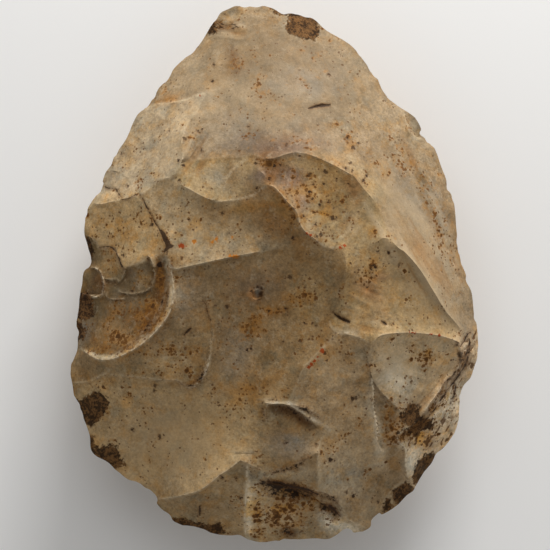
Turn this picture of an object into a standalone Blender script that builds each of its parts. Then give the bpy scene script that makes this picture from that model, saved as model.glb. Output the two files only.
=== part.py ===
"""A knapped stone hand axe, lying on its plainer face: one solid, in metres, +Z up, +Y towards the tip.

Both faces hang from one wavy rim. Each is a sheet stretched over its arrises, the ridges between flake
scars, and sagging a little between them, which is the shape that flaking leaves. The heights of the
arrises come from a low dome. The underside is worn flat at its lowest place, where it rests.
"""

import math

import bmesh
import bpy
import numpy as np
from mathutils import Vector, kdtree
from mathutils.geometry import delaunay_2d_cdt

MM = 0.001

# Driving sizes, in millimetres.
LENGTH = 125.0
WIDTH = 94.9
CREST = 21.0  # height of the upper dome above the rim
KEEL = 18.0  # depth of the lower dome below the rim
REST_CUT = 2.0  # how much is worn off the lowest place of the underside

UPPER_SPACING = 2.45  # between the points of the upper face
LOWER_SPACING = 3.1
CURVE_STEP = 1.9  # between the points along the rim and the arrises
CLEARANCE = 0.62  # of the spacing, kept free on both sides of a curve

UPPER_APEX = (0.0, 23.0)  # highest place of the upper dome
LOWER_APEX = (1.0, -4.0)

# A dome's sections from its apex to the tip, the sides and the butt: (share of the rise that is a
# straight slope, roundness of the rest).
UPPER_SECTIONS = ((0.85, 3.0), (0.45, 3.0), (0.45, 6.0))
LOWER_SECTIONS = ((0.35, 2.5), (0.15, 2.5), (0.2, 3.0))

SAG = 0.012  # hollowness of the flake scars, in 1/mm
# Where the upper face is hollower than that, or bulges: (x, y, reach, how much hollower).
UPPER_HOLLOWS = [
    (2.0, 43.0, 16.0, -0.06),
    (-2.0, 0.0, 18.0, 0.012),
    (-26.0, -38.0, 13.0, 0.02),
    (27.0, -4.0, 9.0, 0.03),
    (6.0, 19.0, 8.0, 0.02),
]
GRIP = 100.0  # how hard an arris holds the sheet up, along all its length where it doesn't die out
FADED_GRIP = 1e-4  # of GRIP, at the end where an arris dies out
RIM_GRIP = 1e4
MERGE = 1e-4  # points nearer to each other than this are one, in mm

# Waves of the rim's height: (height, waves in a round, turn).
RIM_WAVES = [(1.0, 2, 0.6), (0.6, 5, 1.9), (0.35, 9, 0.4)]

# The rim, clockwise from the left of the tip.
RIM = [
    (-13.3, 60), (-8.4, 62.4), (-4.2, 61.9), (0.5, 61.4), (9, 59.2), (12.1, 56.5),
    (17.8, 53), (22, 48.1), (25, 42.9), (32.7, 36.2), (34.2, 33.9), (33.9, 32.5), (36.4, 30.5),
    (40, 21.6), (41.9, 15.2), (42.9, 5.2), (44.5, -1.7), (46.4, -9.6), (47.4, -17),
    (45.9, -23.8), (43.5, -27.6), (42.2, -36.6), (37.5, -42.1), (33.8, -48), (25.2, -55.8),
    (22.3, -58.9), (19.2, -60.2), (16.3, -59.4), (13, -61.5), (4, -61.8), (-2, -62.4),
    (-8, -60.9), (-18, -59.1), (-23.1, -57.8), (-27.1, -53.6), (-28.6, -50.4), (-34.4, -47.5),
    (-42.2, -41.3), (-42.9, -37), (-46.3, -28.6), (-47.3, -22), (-45.5, -13.5), (-45, -4.5),
    (-43.1, 1.8), (-42.8, 4.5), (-44, 8.8), (-43.4, 14.9), (-39.8, 22), (-34.2, 31.6),
    (-32.1, 36.6), (-26.3, 44.1), (-19.2, 51.5), (-14.8, 57.4),
]

# Arrises: (lifts off the dome, spread along them, the ends that die out, points).
UPPER_ARRISES = {
    "brow_left": ((0, 0.6), "", [(-42.4, 16.4), (-38, 16.6), (-32.3, 17.8), (-27, 21.4), (-23.3, 22.1)]),
    "brow_middle": ((0.6, 0, 0.3), "", [
        (-23.3, 22.1), (-19, 19.2), (-11.8, 16.6), (-5, 18.1), (-1.5, 20.4),
    ]),
    "brow_right": ((0.3, 0.5, 0.8), "", [
        (-1.5, 20.4), (3.2, 16.3), (5.8, 11.8), (9.5, 7.8), (13, 6), (16, 6.4),
    ]),
    "brow_spur": ((0.3, 0.3), "both", [(-1.5, 20.4), (-4, 24.5), (-5.2, 27.5)]),
    "upper_arc": ((0, 0.6, 0.6), "", [
        (-21.3, 25.6), (-13, 26.7), (-5.2, 27.5), (5.5, 27.8), (13.5, 25), (18.3, 22.4),
    ]),
    "crest": ((0.6, 1.8), "", [(18.3, 22.4), (23.5, 16), (26.6, 8)]),
    "crest_low": ((1.8, 2, 0.6), "", [
        (26.6, 8), (30.2, 4.8), (33.5, 1), (36.8, -4.2), (41.5, -10.8), (43.8, -13.6),
    ]),
    "crest_spur": ((0.4, 1.8), "start", [(22, 6.4), (24.8, 8.2), (26.6, 8)]),
    "middle_right": ((0.8, 0, -0.8), "", [(16, 6.4), (16.2, -1), (14, -8.6), (12.6, -10.4)]),
    "flank": ((0.6, 0.8, 0.6), "", [(-23.3, 22.1), (-21, 28), (-20.3, 34.3), (-15.7, 41.8)]),
    "flank_to_rim": ((0, 0.5), "", [(-30.2, 38.4), (-23.5, 39.6), (-15.7, 41.8)]),
    "flank_to_tip": ((0.8, 0.2), "end", [(-15.7, 41.8), (-13, 48), (-16, 54.3)]),
    "crack": ((0.2, 0.6), "", [(-31.1, 18.4), (-28.8, 14.2), (-25.6, 8.8), (-24.6, 4.4)]),
    "shelf": ((0.6, 0, -1.4), "end", [(-24.6, 4.4), (-22.5, 1.2), (-15, 2.8), (-6, 4.6), (3, 6.6)]),
    "facet_low": ((0.4, -0.4), "", [(-24.6, 4.4), (-28.6, 3.9), (-34.1, 1.4)]),
    "facet_left": ((-0.4, -0.2), "", [(-34.1, 1.4), (-37.6, 6.3), (-40.6, 6.1), (-43.4, 8.6)]),
    "hinge_lip": ((0.6, 0, -0.4), "", [
        (-24.6, 4.4), (-24.8, -2), (-25.8, -8), (-30, -14.9), (-37, -19.5), (-44.8, -17.3),
    ]),
    "hinge_foot": ((-1.6, -1.6), "end", [(-26.6, 1), (-26.8, -4.6), (-28.2, -9), (-32.4, -14.4)]),
    "left_chip": ((-0.3, -0.3), "", [(-42.6, 1.6), (-39.6, -1), (-41.6, -5.3), (-44.6, -4.6)]),
    "left_low": ((-1.8, -2, -1.4), "end", [
        (-39.5, -23), (-30, -23.9), (-20.5, -25.7), (-15.5, -22), (-14.1, -13),
    ]),
    "left_low_rim": ((-1.6, 0), "", [(-39.5, -23), (-42, -24.7), (-46.2, -25.2)]),
    "butt_left": ((0.6, 2.8, 2), "", [(-26.6, -52.1), (-19.5, -50.7), (-12.5, -46.3), (-7.8, -42.9)]),
    "butt_middle": ((2, 0.8, 1.4), "", [(-7.8, -42.9), (-2.3, -45.8), (4, -44.3), (10, -41)]),
    "butt_rib": ((1.4, 0.8, 0), "", [(-6.2, -43.6), (-6.6, -52), (-6.6, -60.8)]),
    "butt_step": ((0.6, 0.6, 0), "", [
        (-6.3, -48), (2.5, -48.8), (10.3, -50.1), (15.2, -53.1), (18, -57.5),
    ]),
    "butt_foot": ((-1.4, -1.2), "both", [(-1, -49.6), (5, -51.2), (10.3, -53), (14, -56.2)]),
    "butt_right": ((1.2, 0.6), "", [(10, -41), (10.2, -47), (10.3, -50.1)]),
    "lens_lip": ((0.3, -0.1), "end", [(-2.2, -29.6), (3, -30.1), (9, -32.3), (12, -35)]),
    "lens_foot": ((-1.2, -1), "both", [(0, -31.6), (6, -33.6), (10, -36.8)]),
    "right_low": ((0.1, -0.2, 0.6), "", [(3, -30.1), (6.5, -22.3), (11.5, -16.6), (15, -13.6)]),
    "right_neck": ((-0.6, 0.8, 1.2), "", [(12.6, -10.4), (15, -13.6), (20, -14.8), (22.4, -16.1)]),
    "oval_top": ((1.2, 2.2, 1.8), "", [(22.4, -16.1), (26, -13.8), (34, -13.7), (42.4, -15.6)]),
    "oval_left": ((1.2, 0.4, 1), "", [(22.4, -16.1), (21.8, -20.5), (25, -27.5), (29.9, -32.4)]),
    "oval_right": ((1.8, 1.8, 1.4), "", [(42.4, -15.6), (43.2, -19.5), (39, -25.6), (31.4, -35.4)]),
    "right_rib": ((0.2, 0.4), "end", [(22.3, -23), (23, -32.5), (24.7, -41.2)]),
    "right_butt": ((1.4, 1, 0), "", [(31.4, -35.4), (28.6, -38.7), (30.3, -43), (31.2, -47.6)]),
    "right_band": ((0.2, 0.2), "both", [(34.6, 31.3), (33.8, 24), (39.2, 12), (41.8, 2), (45.2, -12)]),
}
LOWER_ARRISES = {
    "keel_tip": ((-0.5, 0.9), "start", [(-3, 55), (-6, 42), (-3, 28), (4, 15)]),
    "keel_middle": ((0.9, 0.6, 0.4, 0.2), "", [(4, 15), (3, 4), (0, -9), (-5, -22)]),
    "keel_butt": ((0.2, 0), "", [(-5, -22), (-1, -38), (7, -50), (9, -60)]),
    "left_shoulder": ((0.4, 0), "", [(-3, 28), (-17, 31), (-31, 36)]),
    "left_upper": ((0.9, 0), "", [(4, 15), (-12, 13), (-28, 7), (-42, 8)]),
    "left_lower": ((0.4, 0), "", [(0, -9), (-16, -10), (-30, -16), (-45, -15)]),
    "left_heel": ((0.2, 0), "", [(-5, -22), (-18, -32), (-27, -44), (-31, -48)]),
    "right_shoulder": ((0.9, 0), "", [(4, 15), (14, 27), (22, 40), (24, 43)]),
    "right_upper": ((0.6, 0), "", [(3, 4), (24, 6), (41, 11)]),
    "right_lower": ((0.4, 0), "", [(0, -9), (18, -15), (32, -13), (46, -12)]),
    "right_heel": ((0.3, 0), "", [(-1, -38), (14, -36), (28, -42), (36, -44)]),
}

FLINT_COLOR = (0.56, 0.49, 0.38, 1.0)
FLINT_ROUGHNESS = 0.55


def clear_scene():
    for old in list(bpy.data.objects):
        bpy.data.objects.remove(old, do_unlink=True)


def spline(points, closed=False):
    """Even points along the smooth curve through the given ones, CURVE_STEP apart."""
    given = np.array(points, float)
    if closed:
        padded = np.vstack([given[-1:], given, given[:2]])
    else:
        padded = np.vstack([2 * given[0] - given[1], given, 2 * given[-1] - given[-2]])
    dense = []
    for before, start, end, after in zip(padded, padded[1:], padded[2:], padded[3:]):
        for t in np.linspace(0, 1, 24, endpoint=False):
            bend = 2 * before - 5 * start + 4 * end - after
            turn = 3 * start - before - 3 * end + after
            dense.append(start + 0.5 * ((end - before) * t + bend * t**2 + turn * t**3))
    dense.append(padded[-2])
    dense = np.array(dense)
    run = np.concatenate([[0], np.cumsum(np.linalg.norm(np.diff(dense, axis=0), axis=1))])
    steps = max(2, round(run[-1] / CURVE_STEP))
    stops = np.linspace(0, run[-1], steps + 1)[: steps if closed else None]
    return np.column_stack([np.interp(stops, run, dense[:, axis]) for axis in (0, 1)])


def rim_height(points):
    angle = np.arctan2(points[:, 1], points[:, 0])
    return sum(height * np.sin(waves * angle + turn) for height, waves, turn in RIM_WAVES)


def dome(points, rim, apex, sections):
    """How high a low dome over the rim stands at these points, from 0 at the rim to 1 at the apex."""
    outward = points - apex
    to_rim = rim - apex
    order = np.argsort(np.arctan2(to_rim[:, 1], to_rim[:, 0]))
    rim_angle = np.arctan2(to_rim[:, 1], to_rim[:, 0])[order]
    rim_radius = np.linalg.norm(to_rim, axis=1)[order]
    angle = np.arctan2(outward[:, 1], outward[:, 0])
    share = np.linalg.norm(outward, axis=1) / np.interp(angle, rim_angle, rim_radius, period=2 * math.pi)
    share = np.clip(share, 0, 1)
    lean = np.sin(angle)[:, None]
    tip, sides, butt = np.array(sections)
    straight, roundness = (sides + (np.where(lean > 0, tip, butt) - sides) * lean**2).T
    return 1 - straight * share - (1 - straight) * share**roundness


def arris_grip(count, faded):
    """How hard an arris of this many points holds the sheet: fully, dying out at its faded ends."""
    along = np.linspace(0, 1, count)
    fade = np.zeros(count)
    if faded in ("start", "both"):
        fade = np.maximum(fade, 1 - along / 0.5)
    if faded in ("end", "both"):
        fade = np.maximum(fade, along / 0.5 - 1)
    return GRIP * FADED_GRIP ** fade


def lattice(spacing, curves):
    """Points in a triangular pattern over the piece, kept clear of the curves."""
    tree = kdtree.KDTree(len(curves))
    for index, (x, y) in enumerate(curves):
        tree.insert((x, y, 0), index)
    tree.balance()
    row_gap = spacing * math.sqrt(3) / 2
    points = []
    for row in range(-int(LENGTH / 2 / row_gap), int(LENGTH / 2 / row_gap) + 1):
        for column in range(-int(WIDTH / 2 / spacing), int(WIDTH / 2 / spacing) + 1):
            x = (column + row % 2 / 2) * spacing
            y = row * row_gap
            if tree.find((x, y, 0))[2] > CLEARANCE * spacing:
                points.append((x, y))
    return np.array(points)


def hollowness(points, hollows):
    sag = np.full(len(points), SAG)
    for x, y, reach, extra in hollows:
        away = (points[:, 0] - x) ** 2 + (points[:, 1] - y) ** 2
        sag += extra * np.exp(-away / reach**2)
    return sag


def stretched(points, triangles, held_at, held_height, grip, sag):
    """Heights of a sheet over the points, held at some of them, that sags into bowls between them."""
    corners = points[triangles]
    first, second, weight = [], [], []
    area = np.zeros(len(points))
    for turn in range(3):
        at, left, right = (corners[:, (turn + k) % 3] for k in range(3))
        across = (left - at)[:, 0] * (right - at)[:, 1] - (left - at)[:, 1] * (right - at)[:, 0]
        across = np.abs(across)
        cotangent = ((left - at) * (right - at)).sum(axis=1) / across
        first += [triangles[:, (turn + 1) % 3], triangles[:, (turn + 2) % 3]]
        second += [triangles[:, (turn + 2) % 3], triangles[:, (turn + 1) % 3]]
        weight += [cotangent / 2, cotangent / 2]
        area += np.bincount(triangles[:, turn], across / 6, len(points))
    first, second, weight = (np.concatenate(part) for part in (first, second, weight))
    pull = np.bincount(held_at, grip, len(points))
    stiffness = np.bincount(first, weight, len(points)) + pull

    def force(height):
        return stiffness * height - np.bincount(first, weight * height[second], len(points))

    aim = np.bincount(held_at, grip * held_height, len(points)) - sag * area
    height = np.full(len(points), np.average(held_height, weights=grip))
    rest = aim - force(height)
    step = rest / stiffness
    energy = rest @ step
    for _ in range(3000):
        pushed = force(step)
        share = energy / (step @ pushed)
        height = height + share * step
        rest = rest - share * pushed
        if np.abs(rest).max() < 1e-7:
            break
        fresh = rest @ (rest / stiffness)
        step = rest / stiffness + fresh / energy * step
        energy = fresh
    return height


def knapped_face(rim, arrises, hollows, spacing, dome_shape, rise):
    """Points and triangles of one face, the rim's points first. A rise below 0 makes it the underside."""
    side = math.copysign(1, rise)
    held = [rim]
    heights = [rim_height(rim)]
    grips = [np.full(len(rim), RIM_GRIP)]
    edges = [(i, (i + 1) % len(rim)) for i in range(len(rim))]
    for lifts, faded, line in arrises.values():
        curve = spline(line)
        first = sum(len(part) for part in held)
        edges += [(first + i, first + i + 1) for i in range(len(curve) - 1)]
        lift = np.interp(np.linspace(0, 1, len(curve)), np.linspace(0, 1, len(lifts)), lifts)
        held.append(curve)
        heights.append(rim_height(curve) + rise * dome(curve, rim, *dome_shape) + side * lift)
        grips.append(arris_grip(len(curve), faded))
    curves = np.vstack(held)
    flat = [Vector(point) for point in np.vstack([curves, lattice(spacing, curves)])]
    flat, _, triangles, sources, _, _ = delaunay_2d_cdt(flat, edges, [], 1, MERGE)
    used, triangles = np.unique(triangles, return_inverse=True)
    triangles = triangles.reshape(-1, 3)
    points = np.array([tuple(flat[i]) for i in used])
    source = np.array([sources[i][0] if sources[i] else len(curves) for i in used])
    held_at = np.flatnonzero(source < len(curves))
    source = source[held_at]
    held_height = np.concatenate(heights)[source]
    grip = np.concatenate(grips)[source]
    sag = side * hollowness(points, hollows)
    return np.column_stack([points, stretched(points, triangles, held_at, held_height, grip, sag)]), triangles


def build_hand_axe():
    rim = spline(RIM, closed=True)
    upper_dome = (UPPER_APEX, UPPER_SECTIONS)
    lower_dome = (LOWER_APEX, LOWER_SECTIONS)
    upper, upper_faces = knapped_face(rim, UPPER_ARRISES, UPPER_HOLLOWS, UPPER_SPACING, upper_dome, CREST)
    lower, lower_faces = knapped_face(rim, LOWER_ARRISES, [], LOWER_SPACING, lower_dome, -KEEL)
    joined = np.arange(len(lower)) + len(upper) - len(rim)
    joined[: len(rim)] = np.arange(len(rim))
    points = np.vstack([upper, lower[len(rim):]])
    faces = np.vstack([upper_faces, joined[lower_faces][:, ::-1]])
    low, high = points.min(axis=0), points.max(axis=0)
    points[:, :2] -= (low + high)[:2] / 2
    points[:, 0] *= WIDTH / (high - low)[0]
    points[:, 1] *= LENGTH / (high - low)[1]
    points[:, 2] -= low[2] + REST_CUT
    mesh = bpy.data.meshes.new("hand_axe")
    mesh.from_pydata((points * MM).tolist(), [], faces.tolist())
    return mesh


def wear_rest_flat(mesh):
    """Cuts the underside off flat at the resting plane and closes the cut with one face."""
    shape = bmesh.new()
    shape.from_mesh(mesh)
    everything = shape.verts[:] + shape.edges[:] + shape.faces[:]
    cut = bmesh.ops.bisect_plane(
        shape, geom=everything, dist=1e-6, plane_co=(0, 0, 0), plane_no=(0, 0, -1), clear_outer=True
    )
    border = [part for part in cut["geom_cut"] if isinstance(part, bmesh.types.BMEdge)]
    bmesh.ops.holes_fill(shape, edges=border, sides=0)
    bmesh.ops.recalc_face_normals(shape, faces=shape.faces[:])
    shape.to_mesh(mesh)
    shape.free()


def flint():
    material = bpy.data.materials.new("flint")
    material.use_nodes = True
    shader = material.node_tree.nodes["Principled BSDF"]
    shader.inputs["Base Color"].default_value = FLINT_COLOR
    shader.inputs["Roughness"].default_value = FLINT_ROUGHNESS
    shader.inputs["Metallic"].default_value = 0.0
    return material


def main():
    clear_scene()
    collection = bpy.data.collections.new("Hand axe")
    bpy.context.scene.collection.children.link(collection)
    mesh = build_hand_axe()
    wear_rest_flat(mesh)
    mesh.materials.append(flint())
    collection.objects.link(bpy.data.objects.new("hand_axe", mesh))


main()
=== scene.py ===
"""The finish of the knapped stone hand axe: its flaked surface, patina, stains and painted shade, on a pale
floor.

The piece is shaped as the CAD solid is, from the same rim and the same arrises, the ridges between
flake scars, but with closer points. Steps, cracks, ripples and nicks are then worked into its surface.
Sizes of the stone are in millimetres, and the mesh is made in metres.
"""

import math

import bpy
import numpy as np
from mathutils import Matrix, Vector, kdtree, noise
from mathutils.geometry import delaunay_2d_cdt


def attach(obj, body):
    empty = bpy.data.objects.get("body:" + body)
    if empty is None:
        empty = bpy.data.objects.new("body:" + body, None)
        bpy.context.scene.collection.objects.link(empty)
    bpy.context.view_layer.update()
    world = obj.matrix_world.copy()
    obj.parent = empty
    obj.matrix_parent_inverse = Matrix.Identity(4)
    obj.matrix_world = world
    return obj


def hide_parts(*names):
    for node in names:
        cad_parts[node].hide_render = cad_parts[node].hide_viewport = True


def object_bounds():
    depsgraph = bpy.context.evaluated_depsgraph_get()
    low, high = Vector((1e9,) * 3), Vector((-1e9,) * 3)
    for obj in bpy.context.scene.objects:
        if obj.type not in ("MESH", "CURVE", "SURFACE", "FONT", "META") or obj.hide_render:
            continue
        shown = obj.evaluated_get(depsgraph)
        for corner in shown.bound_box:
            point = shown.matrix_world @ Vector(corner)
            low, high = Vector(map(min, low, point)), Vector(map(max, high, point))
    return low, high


MM = 0.001

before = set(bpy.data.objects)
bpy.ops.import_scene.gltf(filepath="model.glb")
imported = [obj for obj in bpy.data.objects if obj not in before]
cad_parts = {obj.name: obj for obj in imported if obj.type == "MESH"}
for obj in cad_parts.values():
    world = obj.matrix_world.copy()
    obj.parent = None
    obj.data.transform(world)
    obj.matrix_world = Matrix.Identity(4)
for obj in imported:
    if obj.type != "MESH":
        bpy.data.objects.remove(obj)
cad_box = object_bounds()

# ---------------------------------------------------------------- driving sizes

CREST = 21.0  # height of the upper dome above the rim
KEEL = 18.0  # depth of the lower dome below the rim
REST_CUT = 2.0  # how much is worn off the lowest place of the underside

UPPER_SPACING = 0.42  # between the points of the upper face
LOWER_SPACING = 0.68
CURVE_STEP = 0.42  # between the points along the rim and the arrises
CURVE_SAMPLES = 24  # between two given points, before they are spread evenly
CLEARANCE = 0.62  # of the spacing, kept free on both sides of a curve

UPPER_APEX = (0.0, 23.0)  # highest place of the upper dome
LOWER_APEX = (1.0, -4.0)

# A dome's sections from its apex to the tip, the sides and the butt: (share of the rise that is a
# straight slope, roundness of the rest).
UPPER_SECTIONS = ((0.85, 3.0), (0.45, 3.0), (0.45, 6.0))
LOWER_SECTIONS = ((0.35, 2.5), (0.15, 2.5), (0.2, 3.0))

SAG = 0.012  # hollowness of the flake scars, in 1/mm
# Where the upper face is hollower than that, or bulges: (x, y, reach, how much hollower).
UPPER_HOLLOWS = [
    (2.0, 43.0, 16.0, -0.06),
    (-2.0, 0.0, 18.0, 0.012),
    (-26.0, -38.0, 13.0, 0.02),
    (27.0, -4.0, 9.0, 0.03),
    (6.0, 19.0, 8.0, 0.02),
]
GRIP = 100.0  # how hard an arris holds the sheet up, along all its length where it doesn't die out
FADED_GRIP = 1e-4  # of GRIP, at the end where an arris dies out
RIM_GRIP = 1e4
MERGE = 1e-4  # points nearer to each other than this are one, in mm
MOST_ROUNDS = 3000  # of settling the sheet
SETTLED = 1e-6  # the force left at a point when the sheet has settled

RIM_MARGIN = 1.2  # how far inside the rim the relief comes up to its full height
ON_LINE = 1e-3  # points nearer to a line than this are on it
LINE_END = 0.06  # the share of a line over which it comes up at each end
LINE_FADE = 0.35  # the same at an end that dies out
LINE_SHAPE = 0.7  # how round it comes up, 1 for a straight rise
CREASE_DEPTH = 0.35
CREASE_WIDTH = 0.17  # in the grain's noise, which runs from -1 to 1
# Unevenness of each face: (height, size, seed, octaves).
UPPER_SWELLS = [(0.13, 8, 1, 3), (0.04, 1.8, 6, 3)]
LOWER_SWELLS = [(0.16, 8, 2, 3), (0.035, 1.6, 7, 2)]

SHARP_ARRIS = 24.0  # degrees between two faces from which their edge looks sharp
SOFT_EDGE = 5.0  # mm, over which a scar's tone fades where no arris ends it
ARRIS_EDGE = 0.6  # the same at an arris
EDGE_REACH = 1.5  # how far from a crack or a worn edge its own mark is worked out
SEAM_REACH = 4.0
SEAM_SHARP = 1.6  # how much sooner the left side of a spreading seam ends
SEAM_END = 1.2  # how much narrower a seam gets at its ends
STEP_FOOT_REACH = 2.0
STEP_FOOT_WIDTH = 0.5  # how far out the darkening at the foot of a step dies away
# The stains' fields on the underside, where none is drawn.
UNDERSIDE = {
    "band": -3.0, "dark": -1.0, "orange": -1.0, "red": -1.0, "seam": -3.0, "step_foot_dark": 0.0, "streak": 0.0,
    "crease": 0.0, "calm": 0.0, "cracked": -1.0,
}
CRUST_LAP = 2.6  # how far the crust laps around the rim onto the underside
LOWER_RUST = 0.1
LOWER_RUST_PATCHES = [(0.4, 9, 42, 3)]  # (strength, size, seed, octaves)
RAGGED_SCARS = 0.35  # how ragged a scar's tone ends, in its edge's width
RAGGED_WASHES = 0.35  # in the wash's own size
RAGGED_RUST = 0.4

# The room, in metres.
FLOOR_WIDTH = 3.0
LIGHT_DISTANCE = 0.6
LIGHT_AIM = (0, 0, 0.02)
ROOM_LIGHT = 0.30
# Soft square lights: (name, bearing from +Y towards +X and height in degrees, width, watts).
SOFT_BOXES = [("key", 14, 17, 0.28, 5.0), ("top", -10, 50, 0.45, 0.6), ("fill", 185, 30, 0.45, 0.25)]
LENS = 400.0  # mm
SENSOR = 36.0
VIEW_CENTRE = (0.000117, -0.000233)
EYE_LEVEL = 0.016  # height at which the view is VIEW_WIDTH wide
VIEW_WIDTH = 0.1283

# Waves of the rim's height: (height, waves in a round, turn).
RIM_WAVES = [(1.0, 2, 0.6), (0.6, 5, 1.9), (0.35, 9, 0.4)]

# ---------------------------------------------------------------- the rim and the arrises

# The rim, clockwise from the left of the tip.
RIM = [
    (-13.3, 60.0), (-11.7, 61.3), (-8.4, 62.4), (-4.2, 61.9), (-2.4, 62.2), (0.5, 61.4), (5.0, 60.5),
    (9.0, 59.2), (12.1, 56.5), (17.8, 53.0), (22.0, 48.1), (23.7, 45.9), (25.0, 42.9), (27.5, 40.0),
    (32.7, 36.2), (34.2, 33.9), (33.9, 32.5), (36.4, 30.5), (38.0, 27.2), (40.0, 21.6), (40.3, 19.6),
    (41.3, 18.1), (41.9, 15.2), (42.3, 10.0), (42.9, 5.2), (44.4, 0.2), (44.5, -1.7), (45.8, -4.4),
    (46.4, -9.6), (47.1, -11.9), (47.4, -16.0), (47.2, -19.0), (45.9, -23.8), (43.5, -27.6),
    (42.8, -34.4), (42.2, -36.6), (39.7, -40.0), (37.5, -42.1), (36.5, -44.3), (33.8, -48.0),
    (32.3, -50.4), (28.2, -54.0), (25.2, -55.8), (24.3, -55.5), (22.7, -57.3), (22.3, -58.9),
    (19.8, -60.2), (18.4, -60.1), (17.8, -59.4), (16.3, -59.4), (13.0, -61.5), (9.4, -61.4),
    (4.0, -61.8), (-2.0, -62.4), (-5.6, -61.8), (-8.0, -60.9), (-13.0, -60.5), (-18.0, -59.1),
    (-23.1, -57.8), (-24.5, -56.3), (-27.1, -53.6), (-27.1, -52.2), (-28.6, -50.4), (-34.4, -47.5),
    (-38.3, -44.2), (-42.2, -41.3), (-42.9, -37.0), (-45.2, -31.0), (-46.3, -28.6), (-47.3, -22.0),
    (-46.6, -19.5), (-45.5, -13.5), (-46.0, -11.5), (-45.0, -4.5), (-44.2, 0.4), (-43.1, 1.8),
    (-42.8, 4.5), (-44.0, 8.8), (-43.9, 12.0), (-43.4, 14.9), (-40.0, 20.5), (-39.8, 22.0),
    (-37.3, 27.0), (-34.2, 31.6), (-32.1, 36.6), (-30.2, 38.4), (-27.9, 41.4), (-26.3, 44.1),
    (-24.9, 45.2), (-23.0, 48.0), (-19.2, 51.5), (-17.2, 53.5), (-14.8, 57.4),
]

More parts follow.
